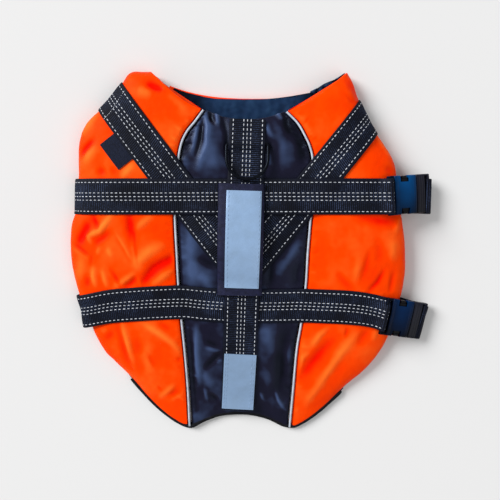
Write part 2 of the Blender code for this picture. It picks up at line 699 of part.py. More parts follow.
side_left = make_side("side_left", LEFT_ROWS)
side_right = make_side("side_right", RIGHT_ROWS)
centre = make_centre()
chest_panel = make_chest_panel()
make_neck_lining(chest_panel)
piping_left = make_piping("piping_left", LEFT_ROWS)
piping_right = make_piping("piping_right", RIGHT_ROWS)
make_hem_binding()
stack = [side_left, side_right, centre, piping_left, piping_right]

chest_frame = buckle_frame(CHEST_BUCKLE, CHEST_TILT, CHEST_TURN)
belly_frame = buckle_frame(BELLY_BUCKLE, BELLY_TILT, BELLY_TURN)
chest_female = make_female("chest_buckle_female", chest_frame)
make_male("chest_buckle_male", chest_frame)
belly_female = make_female("belly_buckle_female", belly_frame)
make_male("belly_buckle_male", belly_frame)

left_run, right_run = Vector(LEFT_RUN), Vector(RIGHT_RUN)
label_width, label_length, label_steps = LABEL
outward = Vector((-left_run.y, left_run.x))
label_spot = Vector(LEFT_DIAGONAL) + outward * (WEBBING_WIDTH / 2 + LABEL_FROM_STRAP + label_width / 2)
label_spot -= left_run * LABEL_FROM_FOLD
lay_strap("label", stack, label_spot, -left_run, label_width, (label_length, label_length), label_steps,
          thickness=LABEL_THICKNESS)

shoulder_left = lay_strap("shoulder_strap_left", stack, Vector(LEFT_DIAGONAL) - left_run * LEFT_BEHIND,
                          left_run, WEBBING_WIDTH, *SHOULDER_LEFT, WRAP)
stack.append(shoulder_left)
shoulder_right = lay_strap("shoulder_strap_right", stack, Vector(RIGHT_DIAGONAL) - right_run * RIGHT_BEHIND,
                           right_run, WEBBING_WIDTH, *SHOULDER_RIGHT, WRAP)
stack.append(shoulder_right)
stack.append(lay_strap("chest_strap", stack + [buckle_copy(chest_female)], CHEST_START, (-1, 0),
                       WEBBING_WIDTH, *CHEST_STRAP, WRAP))
stack.append(lay_strap("belly_strap", stack + [buckle_copy(belly_female)], BELLY_START, (-1, 0),
                       WEBBING_WIDTH, *BELLY_STRAP, WRAP, skew=BELLY_SKEW, bend=BELLY_BEND))

bar_z = top_at(stack, SPINE_X_NECK, RING_BAR_Y, RING_NEAR_BAR) + ROOM + RING_WIRE
bar = Vector((SPINE_X_NECK - 0.5, RING_BAR_Y, bar_z))
guide = bar_guide(bar)
spine_run = Vector((SPINE_X_TAIL - SPINE_X_NECK, SPINE_Y_TAIL - SPINE_Y_NECK))
spine = lay_strap("spine_webbing", stack + [guide], (SPINE_X_NECK, SPINE_Y_NECK), spine_run, WEBBING_WIDTH,
                  (spine_run.length, spine_run.length), SPINE_STEPS)
stack.append(spine)
ring_reach = RING_SIDE + RING_HALF
round_z = top_at(stack, SPINE_X_NECK, RING_BAR_Y - ring_reach, RING_NEAR_ROUND) + RING_ROOM + RING_WIRE
tilt = math.degrees(math.atan2(round_z - bar_z, ring_reach))
make_ring(bar, tilt)

handle = lay_tape("handle", stack, HANDLE, thickness=HANDLE_THICKNESS, colour="navy", arch=HANDLE_ARCH)
lay_tape("handle_reflective", [handle], HANDLE_TAPE, room=GAP, thickness=TAPE_THICKNESS, colour="reflective")
lay_tape("tail_reflective", stack, TAIL_TAPE, room=GAP, thickness=TAPE_THICKNESS, colour="reflective")

flat_strap("chest_strap_under", CHEST_UNDER)
flat_strap("belly_strap_under", BELLY_UNDER)
flat_strap("shoulder_strap_left_under", LEFT_UNDER)
flat_strap("shoulder_strap_right_under", RIGHT_UNDER)

centre_everything()
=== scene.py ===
"""Looks of the dog life jacket: padded panels, webbing with its stitches, tapes, hardware, light and camera.

Sizes are in millimetres in the design's own frame (+Y to the neck, +X to the buckles, the jacket on z = 0).
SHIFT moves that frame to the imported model's.
"""

import json
import math
import random

import bmesh
import bpy
import numpy as np
from mathutils import Matrix, Vector, noise
from mathutils.bvhtree import BVHTree

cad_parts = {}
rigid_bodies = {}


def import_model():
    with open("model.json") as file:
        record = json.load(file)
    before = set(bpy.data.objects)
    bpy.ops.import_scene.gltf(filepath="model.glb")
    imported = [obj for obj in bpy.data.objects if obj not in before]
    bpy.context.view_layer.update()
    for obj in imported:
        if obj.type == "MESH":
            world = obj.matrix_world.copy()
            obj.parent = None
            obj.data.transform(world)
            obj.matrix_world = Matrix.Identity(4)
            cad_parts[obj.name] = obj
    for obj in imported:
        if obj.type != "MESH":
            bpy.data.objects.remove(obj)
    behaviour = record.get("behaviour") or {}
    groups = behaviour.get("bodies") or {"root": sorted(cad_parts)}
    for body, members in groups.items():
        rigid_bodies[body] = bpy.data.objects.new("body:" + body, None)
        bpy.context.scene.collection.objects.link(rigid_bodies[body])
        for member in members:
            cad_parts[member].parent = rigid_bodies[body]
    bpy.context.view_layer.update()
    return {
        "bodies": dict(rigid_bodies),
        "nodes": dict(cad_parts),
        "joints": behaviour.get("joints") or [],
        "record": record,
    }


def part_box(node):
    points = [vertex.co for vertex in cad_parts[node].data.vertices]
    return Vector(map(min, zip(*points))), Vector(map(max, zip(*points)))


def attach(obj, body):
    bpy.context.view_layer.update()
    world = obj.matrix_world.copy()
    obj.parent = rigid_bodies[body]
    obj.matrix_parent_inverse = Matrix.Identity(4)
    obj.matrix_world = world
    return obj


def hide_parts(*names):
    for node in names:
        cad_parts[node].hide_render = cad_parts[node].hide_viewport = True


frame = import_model()

MM = 0.001
REST = 2.0
SEAM_EDGE = 3.0
SEAM_HALF_GAP = 2.0
PIPING_RADIUS = 1.15

WEBBING_WIDTH, WEBBING_THICKNESS = 39.6, 1.6
STRAP_LIFT = 0.4  # between webbing and what it lies on
RIB_PITCH, RIB_HEIGHT = 2.2, 0.26
STITCH_PITCH, STITCH_LENGTH, STITCH_RADIUS, TAPE_STITCH_RADIUS = 5.0, 3.3, 0.5, 0.34
STITCH_LINES = (0.087, 0.40, 0.50, 0.60, 0.89)
STRAP_SHARES = (0, 0.012, 0.04, 0.1, 0.2, 0.3, 0.4, 0.5, 0.6, 0.7, 0.8, 0.9, 0.96, 0.988, 1)

CHEST_Y, BELLY_Y = 60.0, -64.0
CHEST_UNDER_X = 6.5  # the middle of the chest strap's lower stretch
SPINE_NECK, SPINE_TAIL = (-2.5, 143.5), (-14.0, -192.0)
LEFT_DIAGONAL, LEFT_RUN = (-155.0, 170.4), (-0.6, 0.8)
RIGHT_DIAGONAL, RIGHT_RUN = (131.0, 147.0), (0.63, 0.777)
RING_HALF, RING_SIDE, RING_WIRE = 22.6, 15.5, 1.7
CHEST_BUCKLE, CHEST_TILT, CHEST_TURN = (158.0, 61.0, 33.4), 25.0, 4.0
BELLY_BUCKLE, BELLY_TILT, BELLY_TURN = (157.5, -75.8, 27.5), 22.0, -12.0

# How far the belly strap strays towards the neck, by x.
BELLY_BEND = ((-200, -10.0), (-178, -4.5), (-158, 0.0), (-113, 3.5), (-78, 4.9), (-56, 2.6), (-31, 0.6),
              (10, 0.3), (60, 0.8), (107, -0.9), (130, -3.4), (145, -7.0), (160, -11.0))

# One row for each section across a side panel, from the neck edge to the hem. A section runs from the
# piping seam to the fold, where it turns under, and ends at the flap's edge.
SIDE_COLUMNS = ("seam_x", "seam_y", "fold_x", "fold_y", "bow", "seam_z", "fold_z", "foam", "flap")
LEFT_ROWS = (
    (-51, 154, -111, 198, 5, 28.5, 10, 6, 24),
    (-60, 141.5, -132, 197, 2, 30.5, 11, 9.5, 40),
    (-68.5, 131, -143.5, 185, 0, 31.5, 11.5, 11, 46),
    (-74.5, 119, -162, 164, 0, 32, 12.5, 11.5, 36),
    (-78, 104, -181.5, 142, 0, 32.5, 13, 11.5, 32),
    (-80.5, 84, -191.5, 118, 0, 33, 13, 11.5, 34),
    (-83, 58, -193.5, 78, 0, 33, 13, 11.5, 42),
    (-83, 28, -202, 36, 0, 31.5, 13, 11.5, 62),
    (-82, -4, -205, -4, 0, 29.5, 13, 11.5, 82),
    (-81, -40, -200.5, -38, 0, 27, 12.5, 11.5, 92),
    (-78.5, -80, -190, -78, 0, 24, 11.5, 10.5, 86),
    (-75.5, -120, -172.5, -117, 0, 20, 10, 9.5, 66),
    (-73.2, -166, -159, -134, 4, 14, 7.5, 7, 32),
    (-72.5, -214.5, -144, -150, 6.5, 6, 4.2, 3.4, 9),
)
RIGHT_ROWS = (
    (40, 152, 108.5, 196, 5, 28.5, 10, 6, 24),
    (52, 139.5, 115, 184, 2, 30.5, 11, 9.5, 32),
    (60, 126, 122.5, 164, 0, 31.5, 11.5, 11, 32),
    (65.5, 114, 133, 142, 0, 32, 12.5, 11.5, 30),
    (68.5, 101, 149, 118, 0, 32.5, 13, 11.5, 32),
    (69, 82, 162.5, 96, 0, 33, 13, 11.5, 36),
    (68.2, 56, 168, 60, 0, 33, 13, 11.5, 42),
    (66.5, 27, 174, 27, 0, 31.5, 13, 11.5, 60),
    (64.5, -4, 178, -8, 0, 29.5, 13, 11.5, 80),
    (63, -40, 177, -39, 0, 27, 12.5, 11.5, 90),
    (58.8, -82, 169, -81, 0, 24, 11.5, 10.5, 84),
    (54, -117, 154.5, -117, 0, 20, 10, 9.5, 62),
    (50.8, -165, 135.6, -143.5, 4, 14, 7.5, 7, 32),
    (47.5, -216, 111.5, -166.5, 4.5, 6, 4.2, 3.4, 9),
)
CENTRE_COLUMNS = ("bow", "foam")
CENTRE_ROWS = (
    (9.5, 5), (5, 8), (1, 9), (0, 9.5), (0, 9.5), (0, 9.5), (0, 9.5), (0, 9.5), (0, 9.5),
    (0, 9.5), (0, 9), (0, 8.5), (-4, 6.5), (-18.5, 3.2),
)
CHEST_COLUMNS = ("left_x", "left_y", "right_x", "right_y", "bow", "foam")
CHEST_ROWS = (
    (-90.5, 183.5, 85.5, 180.5, 13, 5),
    (-97, 170, 85, 168, 11, 8),
    (-101, 157, 88, 154, 7, 10),
    (-86, 141, 77, 138, 3, 11),
    (-68, 122, 62, 120, 0, 11),
    (-60, 100, 54, 99, 0, 11),
    (-60, 76, 54, 76, 0, 11),
    (-66, 44, 60, 44, 0, 5),
)
HEM_SHARES = (0.06, 0.12, 0.18, 0.25, 0.32, 0.4, 0.48, 0.55, 0.63, 0.7, 0.76, 0.82, 0.88, 0.93)

# Main creases of each panel: height (a trough's is below zero), half width, skew, which makes one side of the
# line stand higher than the other, and then the path's x and y in plan, point by point.
LEFT_CREASES = (
    (-2.2, 4.5, 0, -113, 183, -104, 179, -94, 176), (1.2, 6, 0, -122, 176, -106, 169),
    (0.8, 5, 0, -92, 172, -76, 160, -66, 146), (-2.6, 3.2, 0.1, -188, 105, -181, 113, -172, 122),
    (1.2, 5, 0, -184, 96, -176, 106, -166, 114), (1.1, 5, 0, -187, 126, -177, 141, -168, 152),
    (1.4, 3.6, 0, -141, 80, -133, 88, -126, 96), (-1.5, 4.5, 0, -164, 92, -162, 83),
    (-0.9, 4, 0, -152, 92, -146, 84), (-2.9, 5, 0.2, -181, 32, -186, 22, -195, 8),
    (-1.8, 3.6, 0, -176, 41, -171, 30, -169, 22),
    (2.3, 3.4, 0, -153, 40, -160, 30, -168, 22, -181, 16, -178, 8),
    (-1.9, 4.2, 0.1, -155, 22, -164, 15, -174, 8), (-1.5, 3, 0.6, -200, 5, -191, -1, -182, -7),
    (1, 6, 0, -192, -5, -191, -20, -196, -36), (-0.9, 2, 0.5, -179, -6, -181, -17),
    (0.9, 2.4, 0, -168, 4, -172, -5), (1, 3, 0, -159, 3, -155, -7),
    (1.5, 3.2, 0, -176, -18, -177, -30, -175, -42), (1.4, 3, 0, -166, -22, -164, -32, -162, -42),
    (-1.2, 3.4, 0, -184, -30, -186, -42), (-1.6, 2.8, 0.4, -157, -23, -151, -34, -147, -42),
    (-2.3, 5, 0.1, -135, 42, -133, 28, -132, 8), (0.8, 2.2, 0.7, -149, 18, -141, 4, -134, -10),
    (-0.8, 2.2, 0.8, -130, 22, -129, 4, -127, -16), (1.4, 4, 0, -108, 39, -117, 32, -127, 24),
    (1.5, 6, 0, -94, 8, -110, 0, -125, -12, -127, -24),
    (-2.9, 5.6, 0.2, -84, -6, -97, -13, -107, -19, -124, -38), (1.6, 4.5, 0, -84, -21, -96, -28, -111, -39),
    (1.5, 3.2, 0, -130, -26, -141, -34, -153, -42), (-1.8, 3.2, 0, -127, -30, -134, -37, -142, -43),
    (0.9, 2.2, 0, -126, -30, -123, -42), (1.7, 4.6, 0.85, -149, -84, -144, -108, -138, -136),
    (-0.8, 6, 0, -132, -100, -128, -122), (1, 7, 0, -112, -106, -122, -124, -116, -146),
    (1.5, 4, 0, -122, -84, -104, -96, -90, -107, -81, -119), (-1, 3.4, 0, -104, -84, -92, -92),
    (-1.1, 4, 0, -157, -95, -167, -105), (0.8, 3.4, 0, -164, -92, -172, -96),
    (-0.9, 3.4, 0.5, -118, -124, -112, -138), (-0.9, 2, 0.3, -109, -163, -104, -169),
    (1.2, 3, 0, -88, -159, -97, -168, -107, -177), (-0.9, 3, 0, -84, -168, -94, -174),
    (0.9, 2.8, 0, -77, -170, -93, -180), (-0.9, 2.4, 0, -86, -129, -76, -128),
)
RIGHT_CREASES = (
    (0.7, 5, 0, 50, 150, 57, 140, 64, 126), (-1.3, 4.5, 0.3, 104, 187, 113, 175, 120, 161),
    (-0.8, 3.2, 0.4, 106, 168, 115, 159), (1, 3.6, 0.5, 139, 124, 147, 114, 155, 103),
    (-0.8, 4, 0, 150, 92, 160, 86), (-1.8, 6, 0.1, 118, 38, 140, 33, 166, 29), (1, 4, 0, 168, 36, 163, 19),
    (0.9, 5, 0, 160, 12, 161, -12), (-0.8, 6, 0, 143, 14, 146, -14),
    (-1.2, 4, 0.3, 133, 0, 130, -14, 126, -32), (-2, 3.2, 0.3, 151, -22, 144, -36, 133, -48),
    (-1.3, 3.2, 0.2, 162, -26, 159, -48), (-1.1, 4, 0.1, 98, -25, 106, -36, 115, -45),
    (0.8, 4, 0, 122, -6, 118, -36), (1.3, 3.6, 0, 90, -88, 80, -98, 71, -112),
    (1.2, 3.2, 0, 69, -119, 61, -125, 57, -146), (-2.1, 7, 0.1, 98, -101, 82, -118, 61, -148),
    (1.6, 5, 0.1, 122, -96, 104, -121, 88, -147, 77, -166, 66, -183), (-1.1, 2.2, 0, 112, -90, 110, -101),
    (-0.9, 5, 0, 134, -94, 126, -112), (0.8, 4, 0, 146, -92, 142, -106),
)
LEFT_WAISTS = ((165.0, 20.0, 2.5), (48.0, 13.0, 4.0), (-78.0, 14.0, 2.0))
RIGHT_WAISTS = ((60.0, 16.0, 1.5), (-72.0, 14.0, 1.5))
# Beneath, out of sight in the main view, the flaps wrinkle in the same way.
UNDER_CREASES = (
    (-1.2, 5, 0.2, -178, 20, -150, 6), (-1.3, 5, 0, -190, -20, -160, -30, -140, -26),
    (1, 5, 0.2, -150, -60, -128, -84), (-1, 4, 0.2, -140, -100, -120, -116), (0.9, 5, 0, -172, 60, -160, 78),
    (-1.2, 5, 0.2, 150, 20, 120, 8), (-1.3, 5, 0, 160, -16, 130, -30, 112, -26),
    (1, 5, 0.2, 118, -60, 104, -84), (-1, 4, 0.2, 120, -96, 100, -110), (0.9, 5, 0, 150, 66, 134, 80),
)
CENTRE_CREASES = (
    (1.8, 2.8, 0, -53, 149, -58, 128, -63, 107), (-2.2, 2.6, 0, -52, 143, -54, 122, -59, 105),
    (2.4, 3.8, 0, -49, 154, -45.5, 136, -46.5, 116, -56, 91), (-2.8, 3, 0, -44, 152, -41, 140),
    (2.6, 2.4, 0, -36.6, 153, -34.4, 138), (-2, 3.6, 0, -30, 148, -25.5, 128, -24.5, 100),
    (1.4, 7, 0, -39, 124, -42, 89), (2.6, 2.4, 0.2, 22, 155, 29, 151, 35, 143),
    (-2.2, 4, 0, 38, 151, 40, 138, 44, 128), (1.8, 2.8, 0, 17.5, 139, 20, 132, 24, 124),
    (0.9, 4.5, 0, 30, 136, 36, 116, 36, 94), (-1.6, 5, 0, 50, 136, 56, 114, 58, 94),
    (-1.6, 3, 0, 20, 119, 22, 110), (1.3, 2.6, 0, 20, 107, 22, 94), (1.5, 7, 0, -67, 24, -66, -6, -63, -40),
    (-1.7, 4.6, 0, -60, -10, -48, -14, -38, -20), (1.4, 5.5, 0, -57, -26, -46, -38),
    (1.6, 5, 0, 54, 10, 42, -10, 31, -28), (-1.4, 4, 0, 24, -8, 22, -40), (-1.3, 5, 0, 55, -14, 50, -40),
    (-1.8, 2.6, 0, -69, -88, -67, -150, -64, -195), (1.9, 3, 0, -61, -86, -62, -120, -59, -158),
    (2, 2.2, 0.2, -54, -164, -51, -180), (-1.4, 2.8, 0, -51, -106, -37, -113),
    (1.4, 2.4, 0, -51, -114, -34, -117.5), (-2, 3.2, 0, -34, -120, -44, -130, -54, -141),
    (1.3, 1.8, 0, -39, -131, -33, -129), (1.6, 6, 0, -54, -145, -44, -163),
    (-1.5, 3.4, 0, -47, -173, -38, -181), (1, 6.5, 0, 17, -88, 21, -106, 24, -122),
    (0.9, 6, 0, 20, -136, 20, -162), (-1.8, 6, 0, 38, -90, 35, -130, 33, -172),
    (2.6, 2, 0.3, 29, -168, 33, -180, 39, -191), (2, 1.9, 0.3, 11.5, -170, 15, -180),
    (0.9, 3, 0, 47, -96, 43, -150),
)


# ---- small helpers ----

def find_shift():
    """From the design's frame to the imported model's, by the middle of the chest strap's lower stretch."""
    low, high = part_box("chest_strap_under")
    middle = (low + high) / 2 / MM
    return np.array((middle.x - CHEST_UNDER_X, middle.y - CHEST_Y, low.z / MM))


SHIFT = find_shift()


def to_world(points):
    return (np.asarray(points, float) + SHIFT) * MM


def smoothstep(value, low=0.0, high=1.0):
    t = np.clip((np.asarray(value, float) - low) / (high - low), 0.0, 1.0)
    return t * t * (3 - 2 * t)


def smooth_value(values, t):
    """The value at t along a list, on a Catmull-Rom curve through all of it."""
    i = min(int(t), len(values) - 2)
    f = t - i
    before = values[i - 1] if i > 0 else 2 * values[0] - values[1]
    after = values[i + 2] if i + 2 < len(values) else 2 * values[-1] - values[-2]
    a, b = values[i], values[i + 1]
    curve = (b - before) * f + (2 * before - 5 * a + 4 * b - after) * f**2
    return a + 0.5 * (curve + (3 * a - before - 3 * b + after) * f**3)


def row_at(columns, rows, t):
    return {name: smooth_value([row[k] for row in rows], t) for k, name in enumerate(columns)}


def unit(vectors):
    """Vectors, each brought to length 1."""
    return vectors / np.maximum(np.linalg.norm(vectors, axis=-1, keepdims=True), 1e-9)


def path_lengths(points):
    """How far along a polyline each of its points lies."""
    return np.concatenate([[0.0], np.cumsum(np.linalg.norm(np.diff(points, axis=0), axis=1))])


def resample(points, count):
    """count points at even distances along a polyline."""
    points = np.asarray(points, float)
    along = path_lengths(points)
    wanted = np.linspace(0.0, along[-1], count)
    return np.stack([np.interp(wanted, along, points[:, k]) for k in range(points.shape[1])], 1)


def blur(values, sigma, axis):
    """A Gaussian blur along one axis that keeps the ends."""
    reach = max(1, int(3 * sigma))
    kernel = np.exp(-0.5 * (np.arange(-reach, reach + 1) / sigma) ** 2)
    kernel /= kernel.sum()
    values = np.moveaxis(values, axis, 0)
    before = 2 * values[:1] - values[1:reach + 1][::-1]
    after = 2 * values[-1:] - values[-reach - 1:-1][::-1]
    long = np.concatenate([before, values, after])
    out = sum(weight * long[k:k + len(values)] for k, weight in enumerate(kernel))
    return np.moveaxis(out, 0, axis)


def spread_max(values, reach, axis):
    """The largest value within reach steps along one axis."""
    values = np.moveaxis(values, axis, 0)
    padded = np.concatenate([np.repeat(values[:1], reach, 0), values, np.repeat(values[-1:], reach, 0)])
    out = np.max([padded[k:k + len(values)] for k in range(2 * reach + 1)], axis=0)
    return np.moveaxis(out, 0, axis)


def grid_normals(grid, closed):
    """Unit normals of a grid of points (rows, columns, 3), whose columns close when closed is set."""
    down = np.gradient(grid, axis=0)
    if closed:
        across = (np.roll(grid, -1, axis=1) - np.roll(grid, 1, axis=1)) / 2
    else:
        across = np.gradient(grid, axis=1)
    return unit(np.cross(across, down))


def upward_normals(grid, column):
    """Unit normals of a closed grid, turned so that those of this column point up."""
    normals = grid_normals(grid, True)
    return normals if normals[len(grid) // 2, column, 2] > 0 else -normals


def crease_field(points, creases):
    """Height of the creases at plan points (N, 2)."""
    total = np.zeros(len(points))
    for height, width, skew, *path in creases:
        path = np.reshape(path, (-1, 2)).astype(float)
        lengths = np.linalg.norm(np.diff(path, axis=0), axis=1)
        nearest = np.full(len(points), 1e9)
        share, side = np.zeros(len(points)), np.zeros(len(points))
        done = 0.0
        for a, b, length in zip(path, path[1:], lengths):
            run = (b - a) / length
            offset = points - a
            t = np.clip(offset @ run, 0.0, length)
            gap = offset - t[:, None] * run
            distance = np.linalg.norm(gap, axis=1)
            closer = distance < nearest
            nearest = np.where(closer, distance, nearest)
            share = np.where(closer, (done + t) / lengths.sum(), share)
            side = np.where(closer, np.sign(offset[:, 0] * run[1] - offset[:, 1] * run[0]), side)
            done += length
        q = nearest / width
        taper = 0.25 + 0.75 * np.sin(math.pi * np.clip(share, 0, 1)) ** 0.7
        total += height * taper * np.exp(-q * q) * ((1 - skew) - skew * 2.0 * side * q)
    return total


def wander(points, size, seed):
    """Smooth seeded noise at points (N, 3), about -1 to 1, with features of that size."""
    offset = Vector((seed * 7.13, seed * 3.7, seed * 11.9))
    return np.array([noise.noise(Vector(point) / size + offset) for point in points])


# ---- meshes ----

def add_object(name, data):
    """An object with this data, linked into the scene."""
    obj = bpy.data.objects.new(name, data)
    bpy.context.scene.collection.objects.link(obj)
    return obj


def make_piece(name, points, faces, materials, indices=None, attributes=None, sharp=None):
    """A mesh object from design points. attributes are named per-point numbers for the materials."""
    mesh = bpy.data.meshes.new(name)
    mesh.from_pydata(to_world(points).tolist(), [], [list(face) for face in faces])
    for material in materials:
        mesh.materials.append(material)
    if indices is not None:
        mesh.polygons.foreach_set("material_index", np.asarray(indices, np.int32))
    for key, values in (attributes or {}).items():
        layer = mesh.attributes.new(key, "FLOAT", "POINT")
        layer.data.foreach_set("value", np.asarray(values, np.float32))
    mesh.shade_smooth()
    if sharp:
        mesh.set_sharp_from_angle(angle=math.radians(sharp))
    return add_object(name, mesh)


def ring_faces(rows, columns, paired):
    """Quads between rings of points, and a cap at each end: one face, or quads that join facing points."""
    faces = []
    for i in range(rows - 1):
        a, b = i * columns, (i + 1) * columns
        for k in range(columns):
            n = (k + 1) % columns
            faces.append((a + k, b + k, b + n, a + n))
    last = (rows - 1) * columns
    if not paired:
        return faces + [tuple(range(columns)), tuple(range(last, last + columns))[::-1]]
    for k in range(columns // 2 - 1):
        near, far = (k, k + 1), (columns - 2 - k, columns - 1 - k)
        faces.append((*near, *far))
        faces.append((last + far[1], last + far[0], last + near[1], last + near[0]))
    return faces


def turn_out(points, faces):
    """The faces, reversed if the closed mesh they make is inside out."""
    points = np.asarray(points, float)
    volume = 0.0
    for face in faces:
        if len(face) != 4:
            continue
        a, b, c, d = points[list(face)]
        volume += np.dot(a, np.cross(b, c)) + np.dot(a, np.cross(c, d))
    return faces if volume > 0 else [face[::-1] for face in faces]


def loft(name, grid, materials, column_index=None, attributes=None, sharp=None, paired=True):
    """A closed mesh through rings (rows, columns, 3). column_index gives each column's material."""
    rows, columns = grid.shape[:2]
    points = grid.reshape(-1, 3)
    faces = turn_out(points - points.mean(0), ring_faces(rows, columns, paired))
    indices = None
    if column_index is not None:
        indices = [column_index[min(face) % columns] if len(face) == 4 else 0 for face in faces]
    return make_piece(name, points, faces, materials, indices, attributes, sharp)


def joined(grids):
    """Points and faces of several closed lofts together."""
    points, faces = [], []
    for grid in grids:
        first = sum(len(part) for part in points)
        flat = grid.reshape(-1, 3)
        made = turn_out(flat - flat.mean(0), ring_faces(*grid.shape[:2], False))
        faces += [tuple(first + k for k in face) for face in made]
        points.append(flat)
    return np.concatenate(points), faces


def tree_of(obj):
    """A search tree over a piece or CAD node, in design millimetres."""
    mesh = obj.data
    co = np.empty(len(mesh.vertices) * 3)
    mesh.vertices.foreach_get("co", co)
    points = co.reshape(-1, 3) / MM - SHIFT
    return BVHTree.FromPolygons(points.tolist(), [list(p.vertices) for p in mesh.polygons])


def heights(trees, plan, missing):
    """The highest surface of these trees at each plan point of a grid (..., 2)."""
    flat = plan.reshape(-1, 2)
    out = np.full(len(flat), missing, float)
    down = Vector((0, 0, -1))
    for tree in trees:
        for k, (x, y) in enumerate(flat):
            hit = tree.ray_cast(Vector((x, y, 200.0)), down)
            if hit[0] is not None and hit[0].z > out[k]:
                out[k] = hit[0].z
    return out.reshape(plan.shape[:-1])


# ---- materials ----

def new_material(name, roughness=0.5, metallic=0.0, colour=(0.5, 0.5, 0.5), **sockets):
    material = bpy.data.materials.new(name)
    material.use_nodes = True
    shader = material.node_tree.nodes["Principled BSDF"]
    shader.inputs["Base Color"].default_value = (*colour, 1.0)
    shader.inputs["Roughness"].default_value = roughness
    shader.inputs["Metallic"].default_value = metallic
    for key, value in sockets.items():
        shader.inputs[key.replace("_", " ")].default_value = value
    return material, material.node_tree, shader


def add_node(tree, kind, inputs=None, **settings):
    """A node with its settings, and its inputs either set or linked."""
    made = tree.nodes.new(kind)
    for key, value in settings.items():
        setattr(made, key, value)
    for key, value in (inputs or {}).items():
        if isinstance(value, bpy.types.NodeSocket):
            tree.links.new(value, made.inputs[key])
        else:
            made.inputs[key].default_value = value
    return made


def math_node(tree, operation, *inputs):
    return add_node(tree, "ShaderNodeMath", dict(enumerate(inputs)), operation=operation).outputs[0]


def attribute(tree, name):
    return add_node(tree, "ShaderNodeAttribute", attribute_name=name).outputs["Fac"]


def object_coordinates(tree, repeats):
    """Object coordinates with this many repeats to the metre."""
    inputs = {"Vector": add_node(tree, "ShaderNodeTexCoord").outputs["Object"], "Scale": (repeats,) * 3}
    return add_node(tree, "ShaderNodeMapping", inputs).outputs[0]


def ramp(tree, factor, stops):
    """A colour ramp through (position, colour) stops."""
    made = add_node(tree, "ShaderNodeValToRGB", {"Fac": factor})
    elements = made.color_ramp.elements
    while len(elements) < len(stops):
        elements.new(0.5)
    for element, (position, colour) in zip(elements, stops):
        element.position = position
        element.color = (*colour, 1.0)
    return made.outputs["Color"]


def bump_chain(tree, shader, layers):
    """Bumps laid one on the other: (height socket, distance in metres, strength)."""
    normal = None
    for height, distance, strength in layers:
        inputs = {"Height": height, "Distance": distance, "Strength": strength}
        if normal is not None:
            inputs["Normal"] = normal
        normal = add_node(tree, "ShaderNodeBump", inputs).outputs["Normal"]
    tree.links.new(normal, shader.inputs["Normal"])


def weave(tree, pitch):
    """Two crossed sets of threads, as a height."""
    where = object_coordinates(tree, 1.0 / pitch)
    bands = [add_node(tree, "ShaderNodeTexWave", {"Vector": where, "Scale": 0.314, "Distortion": 0.6},
                      bands_direction=direction).outputs["Fac"] for direction in ("X", "Y")]
    return math_node(tree, "MAXIMUM", *bands)


def clouds(tree, size, detail=4.0):
    """Noise with features of this size in metres."""
    inputs = {"Vector": object_coordinates(tree, 1.0 / size), "Scale": 1.0, "Detail": detail,
              "Roughness": 0.55}
    return add_node(tree, "ShaderNodeTexNoise", inputs).outputs["Fac"]


def nylon(name, trough, middle, crest, roughness, crumple, painted_sheen, **sockets):
    """Coated nylon: its colour follows the fold attribute, darker in troughs and lighter on crests as painted
    shade and highlight, with broad patches of painted sheen.
    """
    material, tree, shader = new_material(name, roughness, **sockets)
    # broad clouds shift the fold value: patches of painted sheen
    painted_sheen_offset = math_node(tree, "MULTIPLY_ADD", clouds(tree, 0.030, 2.0), painted_sheen, -0.5 * painted_sheen)
    fold = math_node(tree, "ADD", attribute(tree, "fold"), painted_sheen_offset)
    stops = ((0.0, trough), (0.5, middle), (1.0, crest))
    tree.links.new(ramp(tree, fold, stops), shader.inputs["Base Color"])
    rough = add_node(tree, "ShaderNodeMapRange", {"Value": clouds(tree, 0.02), 1: 0.3, 2: 0.7,
                                                  3: roughness - 0.06, 4: roughness + 0.08})
    tree.links.new(rough.outputs["Result"], shader.inputs["Roughness"])
    bump_chain(tree, shader, ((clouds(tree, 0.014, 3.0), crumple, 0.6), (weave(tree, 0.0007), 0.00012, 0.35)))
    return material


def drifting(name, roughness, shine, grain, dull, bright, bumps):
    """A cloth whose colour drifts from dull to bright over grain (size, detail). bumps are (kind, its
    arguments, distance, strength)."""
    material, tree, shader = new_material(name, roughness, Specular_IOR_Level=shine)
    colour = ramp(tree, clouds(tree, *grain), ((0.3, dull), (0.7, bright)))
    tree.links.new(colour, shader.inputs["Base Color"])
    bump_chain(tree, shader, [(kind(tree, *given), *size) for kind, given, *size in bumps])
    return material


def make_webbing():
    material, tree, shader = new_material("webbing_black", 0.6, Specular_IOR_Level=0.12)
    # the colour is painted highlight on the rib crests: near black in the grooves, lighter and bluer on the
    # crests, broken by specks and broad clouds
    speck = clouds(tree, 0.0011, 2.0)
    mixed = math_node(tree, "MULTIPLY", attribute(tree, "rib"), speck)
    mixed = math_node(tree, "MULTIPLY", mixed, clouds(tree, 0.03, 3.0))
    stops = ((0.0, (0.0003, 0.0003, 0.0008)), (0.2, (0.0042, 0.0065, 0.018)), (0.42, (0.060, 0.090, 0.185)))
    tree.links.new(ramp(tree, mixed, stops), shader.inputs["Base Color"])
    bump_chain(tree, shader, ((weave(tree, 0.0006), 0.00015, 0.5), (speck, 0.0003, 0.4)))
    return material


